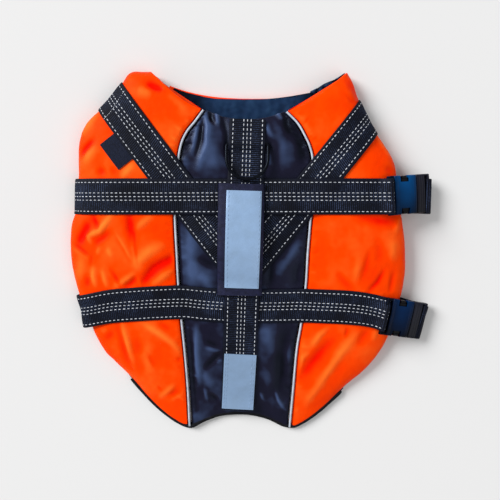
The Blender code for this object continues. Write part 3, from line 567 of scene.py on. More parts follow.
def make_reflective(name, share):
    """Silver tape of glass beads, slightly blue, scuffed in places; share scales its brightness, which makes
    the tail's copy darker as painted shade.
    """
    material, tree, shader = new_material(name, 0.38, 0.25, Specular_IOR_Level=0.7)
    colours = ((0.25, (0.255, 0.385, 0.575)), (0.6, (0.275, 0.42, 0.645)), (0.85, (0.295, 0.45, 0.68)))
    stops = [(spot, tuple(share * c for c in colour)) for spot, colour in colours]
    tree.links.new(ramp(tree, clouds(tree, 0.012, 5.0), stops), shader.inputs["Base Color"])
    where = object_coordinates(tree, 1400.0)
    beads = add_node(tree, "ShaderNodeTexVoronoi", {"Vector": where, "Scale": 1.0}).outputs["Distance"]
    bump_chain(tree, shader, ((clouds(tree, 0.009, 3.0), 0.0008, 0.4), (beads, 0.0002, 0.3)))
    return material


def make_metal():
    """Black lacquered steel, worn a little smoother in places."""
    material, tree, shader = new_material("ring_black_metal", 0.3, Specular_IOR_Level=0.12,
                                          Specular_Tint=(0.6, 0.75, 1.0, 1.0))
    stops = ((0.3, (0.001, 0.001, 0.002)), (0.75, (0.003, 0.0035, 0.006)))
    tree.links.new(ramp(tree, clouds(tree, 0.003, 6.0), stops), shader.inputs["Base Color"])
    inputs = {"Value": clouds(tree, 0.0015, 5.0), 1: 0.3, 2: 0.7, 3: 0.2, 4: 0.42}
    worn = add_node(tree, "ShaderNodeMapRange", inputs)
    tree.links.new(worn.outputs["Result"], shader.inputs["Roughness"])
    return material


def make_plastic(name, deep, lit, shine):
    """Moulded acetal: glossy, with a faint grain; its colour runs from deep to lit with a per-point attribute
    of painted highlight and shade.
    """
    material, tree, shader = new_material(name, 0.3, Specular_IOR_Level=shine)
    cloud = math_node(tree, "MULTIPLY_ADD", clouds(tree, 0.012), 0.3, -0.15)
    mixed = math_node(tree, "ADD", attribute(tree, "painted_light"), cloud)
    tree.links.new(ramp(tree, mixed, ((0.0, deep), (1.0, lit))), shader.inputs["Base Color"])
    bump_chain(tree, shader, ((clouds(tree, 0.0008, 3.0), 0.00008, 0.25),))
    return material


SPUN = ((clouds, (0.0004, 1.0), 0.0002, 0.5),)  # the bumps of thread
MAT = {
    "orange": nylon(
        "shell_orange_nylon", (0.90, 0.004, 0.0), (1.0, 0.052, 0.0), (1.0, 0.18, 0.02), 0.42, 0.0012, 0.15,
        Specular_IOR_Level=0.06, Specular_Tint=(1.0, 0.45, 0.15, 1.0)),
    "navy": nylon(
        "shell_navy_nylon", (0.0011, 0.0006, 0.0022), (0.0072, 0.0058, 0.0165), (0.046, 0.074, 0.165), 0.36,
        0.0005, 0.8, Specular_IOR_Level=0.20, Specular_Tint=(0.5, 0.65, 1.0, 1.0)),
    "lining": nylon(
        "lining_blue", (0.0010, 0.0014, 0.004), (0.0085, 0.024, 0.064), (0.018, 0.048, 0.108), 0.55,
        0.0006, 0.2, Specular_IOR_Level=0.03),
    "webbing": make_webbing(),
    "thread": drifting(
        "thread_reflective", 0.45, 0.6, (0.004, 2.0), (0.34, 0.36, 0.40), (0.70, 0.74, 0.80), SPUN),
    "tape_thread": drifting(
        "thread_tape", 0.45, 0.6, (0.004, 2.0), (0.16, 0.25, 0.40), (0.30, 0.44, 0.64), SPUN),
    "piping": drifting(
        "piping_cloth", 0.5, 0.5, (0.008,), (0.40, 0.45, 0.53), (0.60, 0.65, 0.74),
        ((weave, (0.0005,), 0.0002, 0.6),)),
    "binding": drifting(
        "binding_black", 0.7, 0.15, (0.004,), (0.0015, 0.0015, 0.0025), (0.006, 0.0065, 0.010),
        ((weave, (0.0008,), 0.0003, 0.6),)),
    "reflective": make_reflective("reflective_tape", 1.0),
    # the tail tape's copy, made darker: painted shade
    "tail_reflective": make_reflective("reflective_tail_shaded", 0.84),
    "label": drifting(
        "label_woven", 0.6, 0.15, (0.002,), (0.002, 0.004, 0.014), (0.006, 0.010, 0.030),
        ((weave, (0.0005,), 0.0002, 0.7),)),
    "metal": make_metal(),
    "blue_plastic": make_plastic("buckle_plastic_blue", (0.0, 0.0015, 0.008), (0.0, 0.075, 0.26), 0.08),
    "deep_plastic": make_plastic("buckle_plastic_deep", (0.0002, 0.0006, 0.003), (0.0, 0.022, 0.095), 0.08),
    "dark_plastic": make_plastic(
        "buckle_plastic_dark", (0.0005, 0.0005, 0.0014), (0.010, 0.011, 0.024), 0.16),
    "handle": drifting(
        "handle_nylon", 0.5, 0.15, (0.005,), (0.006, 0.007, 0.022), (0.014, 0.016, 0.050),
        ((clouds, (0.006, 3.0), 0.0008, 0.5), (weave, (0.0007,), 0.0002, 0.6))),
}


# ---- panels ----

TOP, FOLD, UNDER, LIP, INSIDE, ROOF = 76, 14, 26, 5, 24, 30  # points in each part of a side section
SECTIONS_PER_ROW = 17
PUCKER_LENGTH = 9.0


def side_plane(row):
    """Where a side section starts, the unit vector to its fold, the one towards the tail, and its length."""
    start = np.array((row["seam_x"], row["seam_y"]))
    across = np.array((row["fold_x"], row["fold_y"])) - start
    length = np.linalg.norm(across)
    across = across / length
    tailward = np.array((across[1], -across[0]))
    if tailward[1] > 0:
        tailward = -tailward
    return start, across, tailward, length


def side_outline(row):
    """One section of a side panel as points (distance from the seam, height)."""
    length = side_plane(row)[3]
    foam, reach = row["foam"], row["flap"]
    seam_z, fold_z = row["seam_z"], row["fold_z"]
    under = 0.85 * foam
    edge = min(SEAM_EDGE, 0.7 * foam)
    inner = length - foam
    turn = fold_z - REST
    cavity_z = REST + under + 0.6 + 0.1 * (seam_z - REST)
    first = SEAM_HALF_GAP

    def dome(s, end):
        return np.maximum(0.0, 1.0 - np.minimum(1.0, s / end) ** 3) ** (1 / 3)

    s = first + (length - first) * (1 - (1 - np.linspace(0, 1, 300)) ** 3)
    puff = 0.22 * foam * (1 - np.exp(-s / 8.0)) * (1 - (s / length) ** 4)
    top = np.stack([s, fold_z + (seam_z - fold_z) * dome(s, length) + puff], 1)
    angle = np.radians(np.linspace(0, 90, 30))
    fold = np.stack([length - turn * (1 - np.cos(angle)), fold_z - turn * np.sin(angle)], 1)
    lip_z = min(under, 4.5)
    end = length - reach
    flap = np.array([(length - turn, REST), (end + 1.0, REST)])
    lip = np.array([(end + 1.0, REST), (end + 0.2, REST + 0.2 * lip_z), (end, REST + 0.5 * lip_z),
                    (end + 0.2, REST + 0.8 * lip_z), (end + 1.0, REST + lip_z)])
    roof_end = min(inner, length - 0.75 * reach)
    s = first + (roof_end - first) * np.linspace(1, 0, 120)
    sink = 0.5 * foam * (1 - np.exp(-s / 12.0)) * np.maximum(0.0, 1 - (s / inner) ** 4)
    roof = np.stack([s, cavity_z + (seam_z - edge - cavity_z) * dome(s, inner) - sink], 1)
    if reach > 2.2 * foam:
        middle = [(end + 9.0, REST + under), (length - foam - 3.0, REST + under)]
    else:
        near = length - 0.8 * reach
        middle = [(near, REST + lip_z + 0.1), (near + 0.3, REST + lip_z + 0.15)]
    inside = np.array([lip[-1], *middle, roof[0]])
    parts = ((top, TOP), (fold, FOLD + 1), (flap, UNDER + 1), (lip, LIP + 1), (inside, INSIDE + 1),
             (roof, ROOF + 1))
    pieces = [resample(part, count) for part, count in parts]
    return np.concatenate([pieces[0]] + [piece[1:] for piece in pieces[1:]])


def side_grid(rows):
    """Sections of a side panel as a grid (sections, points, 3), and the distance from the seam of each."""
    grid, reach = [], []
    steps = np.linspace(0, len(rows) - 1, (len(rows) - 1) * SECTIONS_PER_ROW + 1)
    for t in steps:
        row = row_at(SIDE_COLUMNS, rows, t)
        start, across, tailward, length = side_plane(row)
        outline = side_outline(row)
        share = np.clip(outline[:, 0] / length, 0, 1)
        bend = row["bow"] * np.sin(math.pi * share**0.75)
        plan = start + np.outer(outline[:, 0], across) + np.outer(bend, tailward)
        grid.append(np.column_stack([plan, outline[:, 1]]))
        reach.append(outline[:, 0] - SEAM_HALF_GAP)
    return np.array(grid), np.array(reach)


def rounded_ends(grid, inset=1.0, reach=1.4):
    """Two more rings at each end, drawn in, so that a panel's edge is soft."""
    normals = grid_normals(grid, True)
    centre = grid.mean((0, 1))
    if np.sum((grid - centre) * normals) < 0:
        normals = -normals
    rings = []
    for end, beside in ((0, 1), (-1, -2)):
        out = unit(grid[end] - grid[beside])
        out = np.tile(out[:TOP].mean(0), (len(out), 1))
        turned = [(math.sin(a), 1 - math.cos(a)) for a in (math.radians(45), math.radians(85))]
        rings.append([grid[end] + out * (reach * go) - normals[end] * (inset * come) for go, come in turned])
    return np.array(rings[0][::-1] + list(grid) + rings[1])


def doubled_ends(values):
    """A grid of values with its first and last rows three times, to suit rounded_ends, as one list."""
    return np.concatenate([values[:1], values[:1], values, values[-1:], values[-1:]]).reshape(-1)


def seam_puckers(seed, grid, edge, beside, count, height):
    """Short creases from a seam, at uneven places: edge is its column of the grid, beside one further in."""
    line = grid[:, edge, :2]
    inward = unit(grid[:, beside, :2] - line)
    draw = random.Random(seed)
    made = []
    for k in range(count):
        share = (k + draw.uniform(0.15, 0.85)) / count * (len(line) - 1)
        spot = line[int(share)]
        side = inward[int(share)]
        along = np.array((-side[1], side[0])) * draw.uniform(-0.35, 0.35)
        end = spot + (side + along) * PUCKER_LENGTH * draw.uniform(0.5, 1.3)
        tall = height * draw.choice((-1, -0.6, 0.7, 1)) * draw.uniform(0.5, 1.2)
        made.append((tall, draw.uniform(1.3, 2.6), 0.2, *spot, *end))
    return made


def make_side(name, rows, creases, seed, waists):
    """A padded side panel: orange outside, blue inside, with its main creases and small wrinkles. waists are
    the places along Y where a strap draws its fold in: middle, half length and depth."""
    grid, reach = side_grid(rows)
    sections, columns = grid.shape[:2]
    plan = grid[:, :, :2].reshape(-1, 2)
    column = np.tile(np.arange(columns), sections)
    on_top = column < TOP + FOLD // 2
    beneath = (column >= TOP + FOLD // 2) & (column < TOP + FOLD + UNDER)
    puckers = seam_puckers(seed, grid, 0, 6, 46, 0.55)
    height = np.zeros(len(plan))
    height[on_top] = crease_field(plan[on_top], [*creases, *puckers])
    height[beneath] = crease_field(plan[beneath], UNDER_CREASES)
    flat = grid.reshape(-1, 3)
    wrinkle = wander(flat * np.array((1.0, 0.7, 1.0)), 13.0, seed) + 0.5 * wander(flat, 6.0, seed + 1)
    broad = wander(flat, 42.0, seed + 2)
    ends = smoothstep(np.minimum(np.arange(sections), np.arange(sections)[::-1]) / 6.0).repeat(columns)
    outside = column < TOP + FOLD + UNDER + LIP
    height += np.where(outside, 0.28 * wrinkle + 0.7 * broad, 0.0)
    from_seam = reach.reshape(-1)
    near_seam = smoothstep(from_seam, 0.0, 6.0)
    height *= (0.25 + 0.75 * ends) * np.where(on_top, 0.15 + 0.85 * near_seam, 1.0)
    height = np.where(beneath, np.minimum(height, 1.2) * 0.7, height)
    dive = np.where(column < TOP, -1.1 * np.exp(-np.maximum(from_seam, 0.0) / 1.6), 0.0)
    by_fold = smoothstep(column, TOP - 26, TOP - 8) * (1 - smoothstep(column, TOP + FOLD, TOP + FOLD + 12))
    for middle, half, depth in waists:
        dive -= depth * by_fold * np.exp(-((flat[:, 1] - middle) / half) ** 2)
    moved = grid + upward_normals(grid, TOP // 2) * (height + dive).reshape(sections, columns)[:, :, None]
    moved[:, :, 2] = np.maximum(moved[:, :, 2], REST - 0.3)
    # fold values are painted shade and highlight: darker in creases, lighter on crests, and darker next to
    # the seam where shade falls
    fold = np.clip(0.5 + height / 3.6, 0, 1).reshape(sections, columns)
    fold = np.minimum(fold, 0.15 + 0.85 * smoothstep(reach, -0.5, 3.0) + (np.arange(columns) >= TOP))
    index = [1 if k >= TOP + FOLD + UNDER + LIP else 0 for k in range(columns)]
    return loft(name, rounded_ends(moved), (MAT["orange"], MAT["lining"]), index,
                attributes={"fold": doubled_ends(fold)}, paired=False)


def padded_grid(left, right, bow, foam, top_extra, count, flatness):
    """A section between two edges: a crowned top, and a bottom one foam's thickness lower."""
    across = right - left
    flat = across[:2] / np.linalg.norm(across[:2])
    tailward = np.array((flat[1], -flat[0]))
    edge = min(SEAM_EDGE, 0.7 * foam)
    f = 0.5 - 0.5 * np.cos(np.linspace(0, math.pi, count)) * 0.3 - 0.7 * (0.5 - np.linspace(0, 1, count))
    spot = left + f[:, None] * across
    bend = bow * (1 - np.abs(2 * f - 1) ** flatness)
    rise = smoothstep(np.minimum(f, 1 - f), 0.0, 0.2)
    x, y = spot[:, 0] + tailward[0] * bend, spot[:, 1] + tailward[1] * bend
    upper = np.stack([x, y, spot[:, 2] + top_extra * rise], 1)
    lower = np.stack([x, y, spot[:, 2] + top_extra * rise - edge - (foam - edge) * rise], 1)
    return np.concatenate([upper, lower[::-1]])


CENTRE_COUNT = 84


def seam_point(rows, t):
    row = row_at(SIDE_COLUMNS, rows, t)
    return np.array((row["seam_x"], row["seam_y"], row["seam_z"]))


def centre_section(t):
    row = row_at(CENTRE_COLUMNS, CENTRE_ROWS, t)
    left, right = seam_point(LEFT_ROWS, t), seam_point(RIGHT_ROWS, t)
    inward = (right - left) / np.linalg.norm(right - left) * SEAM_HALF_GAP
    return padded_grid(left + inward, right - inward, row["bow"], row["foam"], 0.2 * row["foam"],
                       CENTRE_COUNT, 2.2)


def make_centre():
    """The navy panel down the back, with gathers at the neck and long soft folds by its seams."""
    steps = np.linspace(0, len(CENTRE_ROWS) - 1, (len(CENTRE_ROWS) - 1) * SECTIONS_PER_ROW + 1)
    grid = np.array([centre_section(t) for t in steps])
    sections, columns = grid.shape[:2]
    column = np.tile(np.arange(columns), sections)
    on_top = column < CENTRE_COUNT
    plan = grid[:, :, :2].reshape(-1, 2)
    creases = list(CENTRE_CREASES)
    for seed, edge, beside in ((31, 0, 6), (32, CENTRE_COUNT - 1, CENTRE_COUNT - 7)):
        creases += seam_puckers(seed, grid, edge, beside, 44, 0.9)
    height = np.zeros(len(plan))
    height[on_top] = crease_field(plan[on_top], creases)
    flat = grid.reshape(-1, 3)
    wrinkle = wander(flat * np.array((1.3, 0.6, 1.0)), 11.0, 5) + 0.5 * wander(flat, 5.0, 6)
    height += np.where(on_top, 0.24 * wrinkle + 0.35 * wander(flat, 30.0, 7), 0.0)
    f = np.tile(np.concatenate([np.linspace(0, 1, CENTRE_COUNT), np.linspace(1, 0, CENTRE_COUNT)]), sections)
    from_edge = np.minimum(f, 1 - f) * 120.0
    height *= 0.15 + 0.85 * smoothstep(from_edge, 0.0, 6.0)
    dive = np.where(on_top, -1.1 * np.exp(-from_edge / 1.6), 0.0)
    lift = (height + dive).reshape(sections, columns)[:, :, None]
    whole = rounded_ends(grid + upward_normals(grid, CENTRE_COUNT // 2) * lift, 0.8, 1.0)
    # fold values are painted light and shade: lighter on the left and darker on the right, darker in creases
    # and at the seams, lighter on crests
    side = 0.06 - 0.13 * smoothstep(flat[:, 0], -25.0, 25.0)
    fold = np.clip(0.5 + side + height / 3.6, 0, 1) * (0.1 + 0.9 * smoothstep(from_edge, 1.0, 5.0))
    index = [0 if k < CENTRE_COUNT else 1 for k in range(columns)]
    return loft("back_panel", whole, (MAT["navy"], MAT["lining"]), index,
                attributes={"fold": doubled_ends(fold.reshape(sections, columns))})


def chest_edges(row, inset=0.0, height=0.0):
    left = np.array((row["left_x"] + inset, row["left_y"], height))
    right = np.array((row["right_x"] - inset, row["right_y"], height))
    return left, right


def make_chest():
    """The padded panel beneath, from the lower neck edge to the chest strap."""
    grid = []
    count, half = 100, 60  # rings, and points over the top of each
    for t in np.linspace(0, len(CHEST_ROWS) - 1, count):
        row = row_at(CHEST_COLUMNS, CHEST_ROWS, t)
        edge = min(SEAM_EDGE, 0.7 * row["foam"])
        left, right = chest_edges(row, height=REST + edge)
        ring = padded_grid(left, right, row["bow"], row["foam"], row["foam"] - edge, half, 2.6)
        ring[:, 2] = np.maximum(ring[:, 2], REST)
        grid.append(ring)
    grid = np.array(grid)
    flat = grid.reshape(-1, 3)
    lift = 0.5 * wander(flat, 12.0, 15) + 0.6 * wander(flat, 30.0, 16)
    top = np.tile(np.arange(2 * half) < half, count)
    # fold values are painted shade and highlight: lighter where the top rises, darker where it sinks
    fold = np.clip(0.5 + lift / 3.0, 0, 1)
    grid[:, :, 2] += np.where(top, lift, 0.0).reshape(count, 2 * half)
    return loft("chest_pad", rounded_ends(grid, 0.8, 1.0), (MAT["orange"],),
                attributes={"fold": np.concatenate([fold[:4 * half], fold, fold[-4 * half:]])})


def make_neck_lining(chest):
    """The blue lining inside the neck, wrinkled where it turns down. Its fold values are painted shade and
    highlight: lighter on its wrinkles, darker further in under the back panel and towards its ends.
    """
    tree = tree_of(chest)
    rows, columns = 60, 110
    plan = []
    for t in np.linspace(0, 4, rows):
        row = row_at(CHEST_COLUMNS, CHEST_ROWS, t)
        left, right = chest_edges(row, 5.0)
        section = padded_grid(left, right, row["bow"], 1.0, 0.0, columns, 2.6)[:columns, :2]
        over_rim = smoothstep(section[:, 0], -30.0, 0.0)
        over_rim *= 1 - 0.5 * smoothstep(8 - abs(section[:, 0] - 47), 0, 7)
        plan.append(section + np.outer((1.7 * over_rim - 1.5) * (1 - t / 4) - 0.4, (0.0, 1.0)))
    plan = np.array(plan)
    z = heights([tree], plan, 6.0)
    z = blur(blur(spread_max(spread_max(z, 2, 0), 2, 1), 1.5, 0), 1.5, 1) + 0.4
    flat = np.dstack([plan, z]).reshape(-1, 3)
    wave = wander(flat * np.array((1.6, 0.7, 1.0)), 12.0, 21) + 0.6 * wander(flat, 5.0, 22)
    lift = np.maximum(0.0, 0.6 + 0.9 * wave).reshape(rows, columns)
    lift *= smoothstep(np.arange(rows) / 6.0)[:, None]
    lower = np.dstack([plan, z + lift])
    upper = np.dstack([plan, z + lift + 1.0])
    grid = np.concatenate([upper, lower[:, ::-1]], axis=1)
    fold = np.clip(0.55 + 0.25 * wave, 0, 1).reshape(rows, columns)
    # depth is painted shade: darker further in under the back panel and towards the lining's left and right
    # ends
    depth = 1.0 - 0.75 * smoothstep(np.arange(rows) / (rows - 1.0), 0.45, 0.95)[:, None]
    depth = depth * (0.02 + 0.98 * smoothstep(76.0 - np.abs(plan[:, :, 0] - 4.0), 0.0, 42.0))
    fold = np.concatenate([fold * depth, (fold * depth)[:, ::-1]], axis=1)
    end, end_fold = lining_end()
    points, faces = joined((grid, end))
    fold = np.concatenate([fold.reshape(-1), end_fold])
    return make_piece("neck_lining_cloth", points, faces, (MAT["lining"],), attributes={"fold": fold},
                      sharp=50)


LINING_END_INNER = ((70, 167.5), (75.8, 171.7), (85.6, 179.1), (95.1, 186.9), (101.3, 192.3), (106.5, 196.6))
LINING_END_OUTER = ((68, 178), (76.3, 181.8), (84.1, 186.7), (94.2, 190.6), (100.8, 194.4), (106.2, 198.2))


def lining_end(rows=70, columns=20):
    """The lining's crumpled end beside the panel's neck edge, up to the right peak, and its fold values:
    painted shade, mostly dark, with painted highlights on the crumples.
    """
    inner, outer = resample(LINING_END_INNER, rows), resample(LINING_END_OUTER, rows)
    middle, half = (inner + outer) / 2, (outer - inner) / 2
    angle = 2 * math.pi * np.arange(columns) / columns
    thin = 1 - smoothstep(np.arange(rows) / (rows - 1.0), 0.5, 1.0)
    plan = middle[:, None, :] + half[:, None, :] * np.cos(angle)[None, :, None]
    z = 5.6 + (1.4 + 2.2 * thin)[:, None] * np.sin(angle)[None, :]
    grid = np.dstack([plan, z])
    wave = wander(grid.reshape(-1, 3) * np.array((1.0, 1.0, 0.5)), 4.5, 26).reshape(rows, columns)
    grid[:, :, 2] += 1.6 * wave * (0.4 + 0.6 * thin)[:, None] * (np.sin(angle) > -0.2)
    return grid, np.clip(0.16 + 1.1 * wave, 0.02, 1).reshape(-1)


# ---- cords and tapes ----

def tube(name, path, radius_across, radius_up, sides, material, ripple, power=2.0):
    """A closed tube round a path (N, 3), upright and square to it. ripple scales it at each point, and power
    squares its section up."""
    path = np.asarray(path, float)
    ahead = np.gradient(path, axis=0)
    ahead[:, 2] = 0
    ahead = unit(ahead)
    beside = np.stack([-ahead[:, 1], ahead[:, 0], np.zeros(len(path))], 1)
    rings = []
    for k, point in enumerate(path):
        ring = []
        for j in range(sides):
            angle = 2 * math.pi * (j + 0.5) / sides
            c, s = math.cos(angle), math.sin(angle)
            c = math.copysign(abs(c) ** (2 / power), c)
            s = math.copysign(abs(s) ** (2 / power), s)
            up = np.array((0, 0, radius_up * ripple[k] * s))
            ring.append(point + beside[k] * (radius_across * ripple[k] * c) + up)
        rings.append(ring)
    return loft(name, np.array(rings), (material,), paired=False)


def make_piping(name, rows, seed):
    steps = np.linspace(0, len(rows) - 1, 260)
    path = np.array([seam_point(rows, t) for t in steps])
    path[:, 2] += 0.55
    draw = random.Random(seed)
    ripple = 1 + 0.05 * np.array([draw.uniform(-1, 1) for _ in steps])
    return tube(name, path, PIPING_RADIUS, PIPING_RADIUS, 12, MAT["piping"], ripple=blur(ripple, 1.5, 0))


def hem_line():
    """The hem's edge in plan, from the left fold by way of the two tips to the right fold."""
    last = len(LEFT_ROWS) - 1

    def side_point(rows, share):
        row = row_at(SIDE_COLUMNS, rows, last)
        start, across, tailward, length = side_plane(row)
        return start + across * (share * length) + tailward * (row["bow"] * math.sin(math.pi * share**0.75))

    left = [side_point(LEFT_ROWS, share) for share in HEM_SHARES[::-1]]
    right = [side_point(RIGHT_ROWS, share) for share in HEM_SHARES]
    return resample(np.array([*left, *centre_section(last)[:CENTRE_COUNT:6, :2], *right]), 220)


def make_binding():
    """Tape folded round the hem, with its row of stitches on top."""
    line = blur(hem_line(), 2.0, 0)
    ahead = unit(np.gradient(line, axis=0))
    outward = np.stack([ahead[:, 1], -ahead[:, 0]], 1)
    draw = random.Random(41)
    wave = blur(np.array([draw.uniform(-1, 1) for _ in line]), 2.5, 0)
    path = np.column_stack([line + outward * 1.3, np.full(len(line), 3.3)])
    path[:, 2] += 0.5 * wave
    binding = tube("hem_binding_tape", path, 2.9, 3.2, 14, MAT["binding"], power=2.6, ripple=1 + 0.08 * wave)
    stitch_path = path + np.column_stack([-outward * 0.9, np.full(len(line), 2.75)])
    stitches = stitch_rows("hem_binding_stitches", [(stitch_path, None)], 3.2, 2.2, 0.28, MAT["binding"])
    return binding, stitches


def capsule(sides=6, rings=5):
    """Points and faces of a small closed capsule along X, of length 1 and radius 1 before scaling."""
    points, faces = [(-0.5, 0.0, 0.0)], []
    for k in range(1, rings):
        share = k / rings
        x = -0.5 + share
        r = (1 - abs(2 * share - 1) ** 3) ** 0.5
        for j in range(sides):
            angle = 2 * math.pi * j / sides
            points.append((x, r * math.cos(angle), r * math.sin(angle)))
    points.append((0.5, 0.0, 0.0))
    last = len(points) - 1
    for j in range(sides):
        n = (j + 1) % sides
        faces.append((0, 1 + n, 1 + j))
        for k in range(rings - 2):
            a = 1 + k * sides
            faces.append((a + j, a + n, a + sides + n, a + sides + j))
        a = 1 + (rings - 2) * sides
        faces.append((a + j, a + n, last))
    return np.array(points), faces


def stitch_rows(name, lines, pitch, length, radius, material, seed=3):
    """Stitches along paths as one mesh. Each line is a path (N, 3) and its normals, or None for up."""
    shape, faces = capsule()
    draw = random.Random(seed)
    points, all_faces = [], []
    for path, normals in lines:
        along = path_lengths(path)

        def at(values, where):
            return np.array([np.interp(where, along, values[:, c]) for c in range(3)])

        count = int((along[-1] - length) / pitch)
        for k in range(count + 1):
            middle = pitch * k + length / 2 + draw.uniform(-0.12, 0.12)
            forward = unit(at(path, middle + length / 2) - at(path, middle - length / 2))
            up = np.array((0.0, 0.0, 1.0)) if normals is None else at(normals, middle)
            beside = unit(np.cross(up, forward))
            up = np.cross(forward, beside)
            size = length * draw.uniform(0.93, 1.05)
            made = (at(path, middle) + np.outer(shape[:, 0] * size, forward)
                    + np.outer(shape[:, 1] * radius, beside) + np.outer(shape[:, 2] * radius * 0.8, up))
            first = len(points) * len(shape)
            points.append(made)
            all_faces += [tuple(first + v for v in face) for face in faces]
    return make_piece(name, np.concatenate(points), all_faces, (material,))


# ---- webbing ----

def hull(points):
    """The convex hull of 2D points, anticlockwise."""
    points = sorted(set(map(tuple, points)))

    def half(ordered):
        out = []
        for p in ordered:
            while len(out) > 1:
                (ax, ay), (bx, by) = out[-2:]
                if (bx - ax) * (p[1] - ay) - (by - ay) * (p[0] - ax) > 0:
                    break
                out.pop()
            out.append(p)
        return out[:-1]

    return half(points) + half(points[::-1])


FOLD_LEVEL = 13.0  # height of a fold's middle, and of a strap where nothing is beneath it
FOLD_BACK = 34.0  # how far before its end a strap's run over the panel gives way to the fold


def fold_chain(trees, foot, direction, length, top, lift, reach):
    """How a strap under tension goes round a fold, in (distance, height): from the top to the underside.
    top is its own run over the panel as (distance, height). The strap goes at least as far as reach."""
    points = [tuple(p) for p in top if p[0] > length - FOLD_BACK]
    top = top[top[:, 0] <= length - FOLD_BACK]
    for angle in range(75, -91, -15):
        turned = math.radians(angle)
        points.append((reach + 9.0 * (math.cos(turned) - 1), FOLD_LEVEL - 1.0 + 9.0 * math.sin(turned)))
    centre = Vector((*(foot + direction * length), FOLD_LEVEL))
    for angle in range(80, -91, -5):
        turned = math.radians(angle)
        outward = Vector((*(direction * math.cos(turned)), math.sin(turned)))
        reached = None
        for tree in trees:
            hit = tree.ray_cast(centre + outward * 120.0, -outward)
            if hit[0] is not None:
                far = (hit[0] - centre).length
                if (hit[0] - centre).dot(outward) > 0 and (reached is None or far > reached):
                    reached = far
        if reached is not None:
            reached += lift
            points.append((length + reached * math.cos(turned), FOLD_LEVEL + reached * math.sin(turned)))
    start = top[-1]
    floor = REST - lift
    end = (length - FOLD_BACK, floor)
    points = [p for p in points if p[1] >= floor]
    # clockwise: over the top towards the fold, then down
    ring = hull(points + [tuple(start), end, (length - 4.0, floor)])[::-1]
    first = min(range(len(ring)), key=lambda k: math.dist(ring[k], start))
    ring = ring[first:] + ring[:first]
    last = min(range(len(ring)), key=lambda k: math.dist(ring[k], end))
    return top, np.array(ring[:last + 1])


def strap_run(trees, start, direction, width, lengths, bar=None, skew=0.0):
    """The mid-surface of a strap over what it lies on: a grid (steps, lines, 3), about 1 mm apart. skew is
    how far its end lies back for each millimetre across it."""
    direction = np.asarray(direction, float) / np.linalg.norm(direction)
    beside = np.array((-direction[1], direction[0]))
    shares = np.array(STRAP_SHARES)
    back_off = skew * width * (0.5 - shares)
    feet = np.asarray(start, float) + np.outer(width * (0.5 - shares), beside) + np.outer(back_off, direction)
    spans = lengths[0] + (lengths[1] - lengths[0]) * shares - back_off
    count = int(max(lengths)) + 1
    along = np.linspace(0, 1, count)[:, None] * spans[None, :]
    plan = feet[None, :, :] + along[:, :, None] * direction
    z = heights(trees, plan, FOLD_LEVEL)
    if bar is not None:
        distance = np.abs(plan[:, :, 1] - bar[0])
        z = np.maximum(z, np.where(distance < 2.2, bar[1], FOLD_LEVEL))
    z = spread_max(spread_max(z, 3, 0), 1, 1)
    even = np.linspace(0, 1, 21)
    level = np.array([np.interp(even, shares, row) for row in z])
    level = blur(blur(level, 3.0, 0), 2.0, 1)
    z = np.array([np.interp(shares, even, row) for row in level])
    return np.dstack([plan, z]), feet, direction, spans


def strap_skin(mid, thickness, ribs=True):
    """A strap's closed skin from its mid-surface (steps, lines, 3), its outer side, normals and ribs."""
    normals = unit(blur(grid_normals(mid, False), 1.5, 0))
    if normals[len(mid) // 8, :, 2].mean() < 0:
        normals = -normals
    shares = np.array(STRAP_SHARES)
    round_off = np.minimum(1.0, np.sqrt(np.minimum(shares, 1 - shares) / 0.04))
    round_off = 0.25 + 0.75 * round_off
    inside = smoothstep(np.minimum(shares, 1 - shares), 0.07, 0.12)
    phase = np.cos(np.arange(len(mid)) * math.pi / 2) if ribs else np.zeros(len(mid))
    rib = np.outer(phase, inside)
    half = thickness / 2 * round_off[None, :] + RIB_HEIGHT * rib
    outer = mid + normals * half[:, :, None]
    inner = mid - normals * half[:, :, None]
    grid = np.concatenate([outer, inner[:, ::-1]], axis=1)
    # crest values let the webbing paint its rib crests lighter: painted highlight
    crest = 0.5 + 0.5 * rib
    return grid, outer, normals, np.concatenate([crest, crest[:, ::-1]], axis=1)


def strap_stitches(name, outer, normals, shares=STITCH_LINES, thread="thread", radius=STITCH_RADIUS):
    """Dashed thread along a strap."""
    lines = []
    for share in shares:
        path = np.array([[np.interp(share, STRAP_SHARES, row[:, c]) for c in range(3)] for row in outer])
        up = np.array([[np.interp(share, STRAP_SHARES, row[:, c]) for c in range(3)] for row in normals])
        path = blur(path + up * 0.05, 3.0, 0)
        lines.append((path[::4], up[::4]))
    return stitch_rows(name, lines, STITCH_PITCH, STITCH_LENGTH, radius, MAT[thread])


def even_rows(mid, step):
    """The grid resampled along its length, with a whole number of ribs."""
    span = path_lengths(mid[:, mid.shape[1] // 2])[-1]
    count = 4 * max(2, int(round(span / (4 * step)))) + 1
    return np.stack([resample(mid[:, k], count) for k in range(mid.shape[1])], 1)


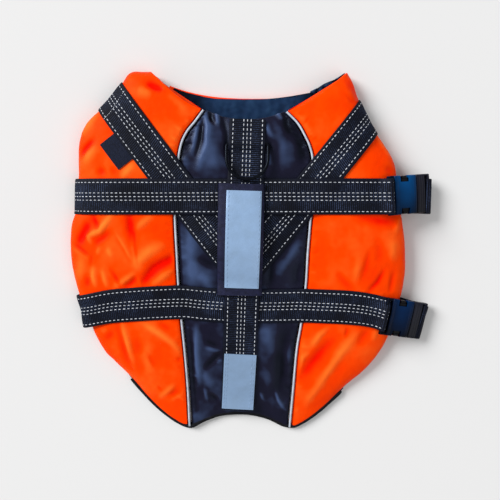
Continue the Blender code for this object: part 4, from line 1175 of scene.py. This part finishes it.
def wrapped_strap(name, trees, panels, start, direction, lengths, reach, under, ends=(), head=(), skew=0.0,
                  bend=()):
    """A webbing strap over the jacket, round its fold and back beneath. lengths and reach are those of its
    two edges, to the fold's middle and to its outside. under is the route beneath in plan, ends are (x, z)
    places where it goes on through a buckle, head (distance, drop) how it begins, and bend its stray towards
    the neck by x."""
    lift = STRAP_LIFT + WEBBING_THICKNESS / 2
    run, feet, direction, spans = strap_run(trees, start, direction, WEBBING_WIDTH, lengths, skew=skew)
    lines = run.shape[1]
    reaches = np.interp(STRAP_SHARES, (0, 1), reach) - skew * WEBBING_WIDTH * (0.5 - np.array(STRAP_SHARES))
    parts = []
    for k in range(lines):
        along = (run[:, k, :2] - feet[k]) @ direction
        top = np.column_stack([along, run[:, k, 2] + lift])
        parts.append(fold_chain(panels, feet[k], direction, spans[k], top, lift, reaches[k]))
    count = max(len(top) for top, _ in parts)
    tops = np.stack([resample(top, count) for top, _ in parts], 1)
    chains = np.stack([resample(chain, 90) for _, chain in parts], 1)
    flat = np.concatenate([tops, chains[1:]])
    flat = blur(flat, 1.6, 0)
    over = np.stack([np.column_stack([feet[k] + np.outer(flat[:, k, 0], direction), flat[:, k, 1]])
                     for k in range(lines)], 1)
    if head:
        begun = [np.column_stack([feet - np.outer(np.full(lines, go), direction), over[0, :, 2] - drop])
                 for go, drop in head]
        over = np.concatenate([np.array(begun), over])
    if bend:
        places, strays = zip(*bend)
        over[:, :, 1] += blur(np.interp(over[:, :, 0], places, strays), 6.0, 0)
    beneath = under_run(over[-1], under, REST - lift)
    mid = np.concatenate([over, beneath[1:]])
    if len(ends):
        mid = np.concatenate([mid, end_run(mid[-1], under, ends)])
    mid = even_rows(mid, RIB_PITCH / 4)
    grid, outer, normals, rib = strap_skin(mid, WEBBING_THICKNESS)
    strap = loft(name, grid, (MAT["webbing"],), attributes={"rib": rib.reshape(-1)}, sharp=60)
    stitches = strap_stitches(f"{name}_stitches", outer, normals)
    return strap, stitches, mid


def under_run(first, route, level):
    """A strap's run beneath the jacket: from the row where its fold ends to the end of a route in plan."""
    route = np.asarray(route, float)
    centre = resample(np.column_stack([route, np.zeros(len(route))]) if route.shape[1] == 2 else route, 120)
    centre = blur(centre, 3.0, 0)
    ahead = unit(np.gradient(centre[:, :2], axis=0))
    beside = np.stack([-ahead[:, 1], ahead[:, 0]], 1)
    shares = np.array(STRAP_SHARES)
    rows = []
    turned = smoothstep(np.arange(len(centre)) / 40.0)
    travelled = np.linalg.norm(centre[:, :2] - centre[0, :2], axis=1)
    heading = ahead[0]
    for k, point in enumerate(centre):
        settled = point[:2] + np.outer(-(0.5 - shares) * WEBBING_WIDTH, beside[k])
        fresh = first[:, :2] + heading * travelled[k]
        plan = fresh + (settled - fresh) * turned[k]
        rows.append(np.column_stack([plan, np.full(len(shares), level + point[2])]))
    return np.array(rows)


def end_run(last, route, ends):
    """The strap's end through a buckle: rows at (distance along, height) from the route's last point."""
    route = np.asarray(route, float)
    ahead = unit(route[-1, :2] - route[-2, :2])
    path = blur(resample(np.array([(0.0, last[0, 2]), *ends]), 60), 1.5, 0)
    rows = [np.column_stack([last[:, :2] + ahead * go, np.full(len(last), z)]) for go, z in path[1:]]
    return np.array(rows)


def flat_tape(name, trees, start, direction, width, length, thickness, material, lift, arch=0.0, seed=9,
              wrinkle=0.0, bar=None, ribs=False):
    """A tape or handle laid on what is beneath it. arch lifts its middle."""
    run = strap_run(trees, start, direction, width, (length, length), bar)[0]
    share = np.linspace(0, 1, len(run))
    run[:, :, 2] += lift + thickness / 2 + arch * np.sin(math.pi * share)[:, None] ** 2
    if wrinkle:
        flat = run.reshape(-1, 3)
        run[:, :, 2] += wrinkle * wander(flat * np.array((1.0, 0.6, 0.2)), 9.0, seed).reshape(run.shape[:2])
    mid = even_rows(run, RIB_PITCH / 4 if ribs else 0.8)
    grid, outer, normals, rib = strap_skin(mid, thickness, ribs)
    obj = loft(name, grid, (material,), attributes={"rib": rib.reshape(-1)}, sharp=60)
    return obj, outer, normals


# ---- buckles ----

BUCKLE_HALF, BUCKLE_THICK = 21.6, 4.2
SOCKET_START, SOCKET_END, PLUG_START, PLUG_END = 0.0, 30.0, 30.4, 49.0


def buckle_frame(spot, tilt, turn):
    """A frame whose X runs from the webbing's slot outwards, down over the fold."""
    turned = Matrix.Rotation(math.radians(turn), 4, "Z") @ Matrix.Rotation(math.radians(tilt), 4, "Y")
    return Matrix.Translation(Vector(spot)) @ turned


def rounded_plate(low, high, radius, crown=0.0, ridges=()):
    """A plate with soft edges as a bmesh. crown lowers its ends in Y, and ridges (x, half width, height) are
    raised across its top."""
    steps = max(3, int((high[0] - low[0]) / 0.45))
    across = 40
    half = (high[1] - low[1]) / 2
    middle = (high[1] + low[1]) / 2
    bm = bmesh.new()
    rings = []
    for i in range(steps + 1):
        x = low[0] + (high[0] - low[0]) * i / steps
        from_end = min(x - low[0], high[0] - x)
        dip = radius - math.sqrt(max(0.0, radius**2 - max(0.0, radius - from_end) ** 2))
        ring = []
        for side in (1, -1):
            for j in range(across + 1):
                v = -1 + 2 * j / across
                v = math.copysign(1 - (1 - abs(v)) ** 1.6, v)
                y = (half - 0.5 * dip) * v
                from_side = half - abs(half * v)
                fall = radius - math.sqrt(max(0.0, radius**2 - max(0.0, radius - from_side) ** 2))
                z = (high[2] if side > 0 else -low[2]) - max(dip, fall) - 0.4 * min(dip, fall)
                z -= crown * abs(v) ** 3
                if side > 0:
                    for place, width, height in ridges:
                        z += height * math.exp(-((x - place) / width) ** 4) * (1 - abs(v) ** 12)
                ring.append(bm.verts.new((x, middle + side * y, side * z)))
        rings.append(ring)
    count = len(rings[0])
    for a, b in zip(rings, rings[1:]):
        for k in range(count):
            n = (k + 1) % count
            bm.faces.new((a[k], a[n], b[n], b[k]))
    bm.faces.new(rings[0][::-1])
    bm.faces.new(rings[-1])
    bmesh.ops.remove_doubles(bm, verts=bm.verts, dist=0.001)
    bmesh.ops.dissolve_degenerate(bm, dist=0.0005, edges=bm.edges)
    bmesh.ops.recalc_face_normals(bm, faces=bm.faces)
    return bm


def join_shapes(name, frame, shapes, cuts, material, painted_light):
    """Shapes joined into one closed piece, with boxes cut out of it, set in its frame."""
    def placed(label, bm):
        mesh = bpy.data.meshes.new(label)
        bm.to_mesh(mesh)
        bm.free()
        return add_object(label, mesh)

    body = placed(name, shapes[0])
    others = [(placed(f"{name}_part", bm), "UNION") for bm in shapes[1:]]
    for low, high in cuts:
        bm = bmesh.new()
        bmesh.ops.create_cube(bm, size=1.0)
        for vert in bm.verts:
            vert.co = Vector([(a + b) / 2 + (b - a) * c for a, b, c in zip(low, high, vert.co)])
        others.append((placed(f"{name}_cut", bm), "DIFFERENCE"))
    for other, operation in others:
        modifier = body.modifiers.new("join", "BOOLEAN")
        modifier.operation = operation
        modifier.solver = "EXACT"
        modifier.object = other
    graph = bpy.context.evaluated_depsgraph_get()
    mesh = bpy.data.meshes.new_from_object(body.evaluated_get(graph))
    body.modifiers.clear()
    body.data = mesh
    for other, _ in others:
        bpy.data.objects.remove(other)
    mesh.materials.clear()
    mesh.materials.append(material)
    # per-point painted highlight and shade for the plastic's colour
    layer = mesh.attributes.new("painted_light", "FLOAT", "POINT")
    shift = Matrix.Translation(Vector(SHIFT))
    for vert, item in zip(mesh.vertices, layer.data):
        item.value = painted_light(*vert.co)
        vert.co = (shift @ frame @ vert.co) * MM
    mesh.shade_smooth()
    mesh.set_sharp_from_angle(angle=math.radians(38))
    return body


def make_socket(name, frame, material):
    """The socket half: a crowned, hollow body with a notch at each side, and the bar for the webbing."""
    body = rounded_plate((SOCKET_START, -BUCKLE_HALF, -BUCKLE_THICK), (SOCKET_END, BUCKLE_HALF, BUCKLE_THICK),
                         1.5, 0.9, ((3.0, 0.7, 0.25), (25.4, 0.6, 0.25), (27.6, 0.6, 0.25)))
    bar = rounded_plate((-7.8, -BUCKLE_HALF, -1.8), (-4.2, BUCKLE_HALF, 1.8), 0.9)
    links = [rounded_plate((-6.6, low, -1.9), (1.9, low + 3.2, 1.9), 0.6) for low in (-BUCKLE_HALF, 18.4)]
    cuts = (((4.0, -18.6, -2.7), (40.0, 18.6, 2.7)), ((7.6, 14.6, -20), (19.6, 40, 20)),
            ((7.6, -40, -20), (19.6, -14.6, 20)))

    # painted highlight and shade: lighter towards the middle and one side of the body, darker on the bar and
    # underneath
    def painted_light(x, y, z):
        along = min(max(x, 0), SOCKET_END) / SOCKET_END
        lit = (0.55 + 0.45 * y / BUCKLE_HALF) * (0.3 + 0.7 * math.sin(math.pi * along))
        return lit * (1 if x > 0 else 0.15) * (1 if z > 0 else 0.3)

    return join_shapes(name, frame, [body, bar, *links], cuts, material, painted_light)


def make_plug(name, frame):
    """The plug half: a slotted plate with ridges, and two springy arms whose tabs fill the notches."""
    body = rounded_plate((PLUG_START, -BUCKLE_HALF, -BUCKLE_THICK), (PLUG_END, BUCKLE_HALF, BUCKLE_THICK),
                         1.3, 0.9, ((33.4, 0.9, 0.35), (36.6, 0.9, 0.35), (39.6, 0.6, 0.25)))
    parts = [body, rounded_plate((8.0, -2.2, -2.2), (PLUG_START + 2, 2.2, 2.2), 0.6)]
    for side in (-1, 1):
        arm = sorted((side * 14.2, side * 18.2))
        tab = sorted((side * 17.9, side * 21.0))
        parts.append(rounded_plate((10.0, arm[0], -2.2), (PLUG_START + 2, arm[1], 2.2), 0.6))
        parts.append(rounded_plate((10.5, tab[0], -2.9), (17.2, tab[1], 2.9), 0.8))
    cuts = (((41.2, -20.0, -20), (45.4, 20.0, 20)),)

    # painted highlight in bands over the ridges and towards one side; painted shade on the arms, tabs and
    # underside
    def painted_light(x, y, z):
        band = 0.5 + 0.5 * math.cos((x - 33.4) * 2 * math.pi / 3.2)
        lit = 0.35 + 0.25 * y / BUCKLE_HALF + 0.35 * band
        return lit if x > PLUG_START and z > 0 else 0.1

    return join_shapes(name, frame, parts, cuts, MAT["dark_plastic"], painted_light)


# ---- the jacket ----

side_left = make_side("side_panel_left", LEFT_ROWS, LEFT_CREASES, 1, LEFT_WAISTS)
side_right = make_side("side_panel_right", RIGHT_ROWS, RIGHT_CREASES, 4, RIGHT_WAISTS)
back = make_centre()
chest = make_chest()
lining = make_neck_lining(chest)
piping_left = make_piping("piping_cord_left", LEFT_ROWS, 51)
piping_right = make_piping("piping_cord_right", RIGHT_ROWS, 52)
binding, binding_stitches = make_binding()

panel_trees = [tree_of(piece) for piece in (side_left, side_right)]
stack = panel_trees + [tree_of(piece) for piece in (back, piping_left, piping_right)]


LABEL_WIDTH, LABEL_LENGTH = 21.0, 34.0
LABEL_TUCK, LABEL_BACK = 1.1, 38.0  # its part beneath the shoulder webbing, and its place along it


def label_place():
    outward = np.array((-LEFT_RUN[1], LEFT_RUN[0]))
    spot = np.array(LEFT_DIAGONAL) + outward * (WEBBING_WIDTH / 2 - LABEL_TUCK + LABEL_WIDTH / 2)
    return spot + np.array((-LEFT_RUN[0], -LEFT_RUN[1])) * LABEL_BACK


label = flat_tape("label_blank", stack, label_place(), (0.6, -0.8), LABEL_WIDTH, LABEL_LENGTH, 1.0,
                  MAT["label"], 0.3)[0]

LEFT_BACK, RIGHT_BACK = 228.0, 212.0  # how far back along its diagonal each shoulder webbing starts
left_start = np.array(LEFT_DIAGONAL) - np.array(LEFT_RUN) * LEFT_BACK
right_start = np.array(RIGHT_DIAGONAL) - np.array(RIGHT_RUN) * RIGHT_BACK
shoulder_left, shoulder_left_stitches, shoulder_left_mid = wrapped_strap(
    "shoulder_webbing_left", stack, panel_trees, left_start, LEFT_RUN, (216.5, 216.5), (219.2, 225.2),
    ((-147, 164.5), (-107, 146.5), (-66, 128)))
shoulder_right, shoulder_right_stitches, _ = wrapped_strap(
    "shoulder_webbing_right", stack, panel_trees, right_start, RIGHT_RUN, (206.0, 198.0), (219.0, 203.4),
    ((120, 146), (86, 135.5), (52, 125)))
stack += [tree_of(shoulder_left), tree_of(shoulder_right)]


def make_cross_stitches(mid, distance):
    """One line of stitches across a strap, that far along it."""
    row = mid[int(np.searchsorted(path_lengths(mid[:, mid.shape[1] // 2]), distance))]
    path = resample(row[1:-1], 40) + np.array((0, 0, WEBBING_THICKNESS / 2 + 0.2))
    return stitch_rows("shoulder_webbing_left_cross_stitches", [(path, None)], 2.6, 2.0, 0.3, MAT["thread"])


cross_stitches = make_cross_stitches(shoulder_left_mid, 214.0)

bar_head = ((3.0, 6.5), (3.0, 4.6), (2.7, 2.6), (1.9, 1.0), (0.9, 0.25))
chest_over = stack + [tree_of(frame["nodes"]["chest_buckle_female"])]
belly_over = stack + [tree_of(frame["nodes"]["belly_buckle_female"])]
chest_strap, chest_stitches, _ = wrapped_strap(
    "chest_webbing", chest_over, panel_trees, (155.0, CHEST_Y), (-1, 0), (344.0, 337.5), (354.5, 352.5),
    ((-150, 60, 0), (60, 60, 0), (170, 60, 0), (184, 60, 1.2), (191, 60, 3.2), (196, 60, 5.4)),
    ends=((1.2, 9.0), (2.0, 14.0), (3.6, 18.6), (8.6, 16.6), (8.4, 12.0), (5.0, 7.4), (-2.0, 6.6)),
    head=bar_head, skew=-0.07)
belly_strap, belly_stitches, _ = wrapped_strap(
    "belly_webbing", belly_over, panel_trees, (153.5, BELLY_Y), (-1, 0), (330.0, 339.0), (347.6, 350.8),
    ((-150, -65, 0), (60, -66, 0), (160, -74, 0), (178, -79, 0), (187, -82, 1.0), (193, -83.8, 2.0)),
    ends=((1.6, 6.0), (2.4, 10.0), (4.0, 14.2), (8.8, 12.6), (8.6, 8.0), (5.0, 4.4), (-2.0, 3.8)),
    head=bar_head, skew=0.21, bend=BELLY_BEND)
stack += [tree_of(chest_strap), tree_of(belly_strap)]


def ring_joint():
    """The ring's axis in the design's frame: the middle of its bar."""
    joint = next(j for j in frame["joints"] if j["name"] == "ring_swing")
    return np.array(joint["pos_m"]) / MM - SHIFT


ring_bar = ring_joint()
spine_run = np.array(SPINE_TAIL) - np.array(SPINE_NECK)
spine, *spine_top = flat_tape(
    "spine_webbing_strip", stack, SPINE_NECK, spine_run, WEBBING_WIDTH, float(np.linalg.norm(spine_run)),
    WEBBING_THICKNESS, MAT["webbing"], STRAP_LIFT, bar=(ring_bar[1], ring_bar[2] + RING_WIRE), ribs=True)
spine_stitches = strap_stitches("spine_webbing_stitches", *spine_top)
stack.append(tree_of(spine))


def make_ring():
    """The black lead ring: a bent wire with a straight bar, on the ring's own body."""
    low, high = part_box("d_ring")
    reach = (high.y - low.y) / MM - 2 * RING_WIRE
    rise = (high.z - low.z) / MM - 2 * RING_WIRE

    def arc(x, y, radius, first, last, count):
        angles = np.radians(np.linspace(first, last, count))
        return [(x + radius * math.cos(angle), y + radius * math.sin(angle)) for angle in angles]

    corner = 3.0
    side = RING_HALF - corner
    flat = [(-side, 0.0), *arc(side, -corner, corner, 90, 0, 7), *arc(0, -RING_SIDE, RING_HALF, 0, -180, 37),
            *arc(-side, -corner, corner, 180, 90, 7)]
    curve = bpy.data.curves.new("lead_ring", "CURVE")
    curve.dimensions = "3D"
    curve.bevel_depth = RING_WIRE * MM
    curve.bevel_resolution = 6
    spline = curve.splines.new("POLY")
    points = resample(np.array(flat + flat[:1]), 141)[:-1]
    spline.points.add(len(points) - 1)
    for place, (x, y) in zip(spline.points, points):
        spot = to_world(ring_bar + np.array((x, y, -y * rise / reach)))
        place.co = (*spot, 1.0)
    spline.use_cyclic_u = True
    curve.materials.append(MAT["metal"])
    return add_object("lead_ring", curve)


ring = make_ring()

handle = flat_tape("grab_handle", stack, (-9.2, 74.0), (-0.02, -1), 50.0, 124.0, 4.0, MAT["handle"], 0.5,
                   arch=7.0, wrinkle=0.35)[0]
handle_tape, *handle_tape_top = flat_tape(
    "grab_handle_tape", [tree_of(handle)], (-6.2, 66.5), (-0.03, -1), 38.0, 108.0, 0.6, MAT["reflective"],
    0.2, wrinkle=0.3, seed=12)
tail_tape, *tail_tape_top = flat_tape(
    "tail_tape", stack, (-11.0, -121.0), (-0.055, -1), 37.0, 69.0, 0.6, MAT["tail_reflective"],
    0.2, wrinkle=0.2, seed=13)
handle_stitches = strap_stitches(
    "grab_handle_tape_stitches", *handle_tape_top, (0.05, 0.93), "tape_thread", TAPE_STITCH_RADIUS)
tail_stitches = strap_stitches(
    "tail_tape_stitches", *tail_tape_top, (0.06, 0.13, 0.88, 0.95), "tape_thread", TAPE_STITCH_RADIUS)

chest_frame = buckle_frame(CHEST_BUCKLE, CHEST_TILT, CHEST_TURN)
belly_frame = buckle_frame(BELLY_BUCKLE, BELLY_TILT, BELLY_TURN)
chest_socket = make_socket("chest_buckle_socket", chest_frame, MAT["blue_plastic"])
chest_plug = make_plug("chest_buckle_plug", chest_frame)
belly_socket = make_socket("belly_buckle_socket", belly_frame, MAT["deep_plastic"])
belly_plug = make_plug("belly_buckle_plug", belly_frame)

# ---- what each piece stands for ----

PIECES = (
    (side_left, "shell_orange", ("side_left",)), (side_right, "shell_orange", ("side_right",)),
    (back, "shell_navy", ("back_centre",)), (chest, "shell_orange", ("chest_panel",)),
    (lining, "lining", ("neck_lining",)), (piping_left, "piping", ("piping_left",)),
    (piping_right, "piping", ("piping_right",)), (binding, "binding", ("hem_binding",)),
    (binding_stitches, "binding", ()), (label, "label", ("label",)),
    (shoulder_left, "webbing", ("shoulder_strap_left", "shoulder_strap_left_under")),
    (shoulder_left_stitches, "reflective", ()),
    (shoulder_right, "webbing", ("shoulder_strap_right", "shoulder_strap_right_under")),
    (shoulder_right_stitches, "reflective", ()),
    (chest_strap, "webbing", ("chest_strap", "chest_strap_under")), (chest_stitches, "reflective", ()),
    (belly_strap, "webbing", ("belly_strap", "belly_strap_under")), (belly_stitches, "reflective", ()),
    (spine, "webbing", ("spine_webbing",)), (spine_stitches, "reflective", ()),
    (handle, "handle_cloth", ("handle",)), (handle_tape, "reflective", ("handle_reflective",)),
    (handle_stitches, "reflective", ()), (tail_tape, "reflective", ("tail_reflective",)),
    (tail_stitches, "reflective", ()), (cross_stitches, "reflective", ()),
    (chest_socket, "buckle_plastic", ("chest_buckle_female",)),
    (chest_plug, "buckle_plastic", ("chest_buckle_male",)),
    (belly_socket, "buckle_plastic", ("belly_buckle_female",)),
    (belly_plug, "buckle_plastic", ("belly_buckle_male",)),
)
for piece, slot, nodes in PIECES:
    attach(piece, "jacket")
    if nodes:
        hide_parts(*nodes)
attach(ring, "ring")
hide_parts("d_ring")

# ---- stage ----

CAMERA_DISTANCE, CAMERA_TILT = 620.0, 6.0
CAMERA_TARGET = (0.0, 0.0, 25.0)
CAMERA_SENSOR, CAMERA_LENS = 36.0, 39.6
LIGHT_TARGET = (0.0, 0.0, 0.02)  # in metres, as are the lights' places
FLOOR_HALF = 12.0  # in metres

def make_floor():
    mesh = bpy.data.meshes.new("floor")
    half = FLOOR_HALF
    corners = [(-half, -half, 0), (half, -half, 0), (half, half, 0), (-half, half, 0)]
    mesh.from_pydata(corners, [], [(0, 1, 2, 3)])
    mesh.materials.append(new_material("floor_pale", 0.9, colour=(0.735,) * 3, Specular_IOR_Level=0.0)[0])
    add_object("floor", mesh)


def make_light(name, spot, size, power):
    data = bpy.data.lights.new(name, "AREA")
    data.shape = "DISK"
    data.size = size
    data.energy = power
    light = add_object(name, data)
    light.location = spot
    light.rotation_euler = (Vector(LIGHT_TARGET) - Vector(spot)).to_track_quat("-Z", "Y").to_euler()


def make_world(strength):
    world = bpy.data.worlds.new("studio")
    world.use_nodes = True
    inputs = world.node_tree.nodes["Background"].inputs
    inputs["Color"].default_value = (1.0, 1.0, 1.0, 1.0)
    inputs["Strength"].default_value = strength
    bpy.context.scene.world = world



def make_camera():
    data = bpy.data.cameras.new("camera")
    data.sensor_width, data.lens = CAMERA_SENSOR, CAMERA_LENS
    camera = add_object("camera", data)
    tilt = math.radians(CAMERA_TILT)
    back_off = np.array((0.0, math.sin(tilt), math.cos(tilt))) * CAMERA_DISTANCE
    camera.location = to_world(np.array(CAMERA_TARGET) + back_off)
    camera.rotation_euler = (-tilt, 0.0, 0.0)
    bpy.context.scene.camera = camera


make_floor()
make_light("key", (-13.2, 8.4, 9.8), 9.2, 4150.0)
make_light("fill", (4.8, -3.2, 7.6), 6.0, 120.0)
make_world(0.455)
make_camera()
bpy.context.scene.view_settings.view_transform = "Standard"
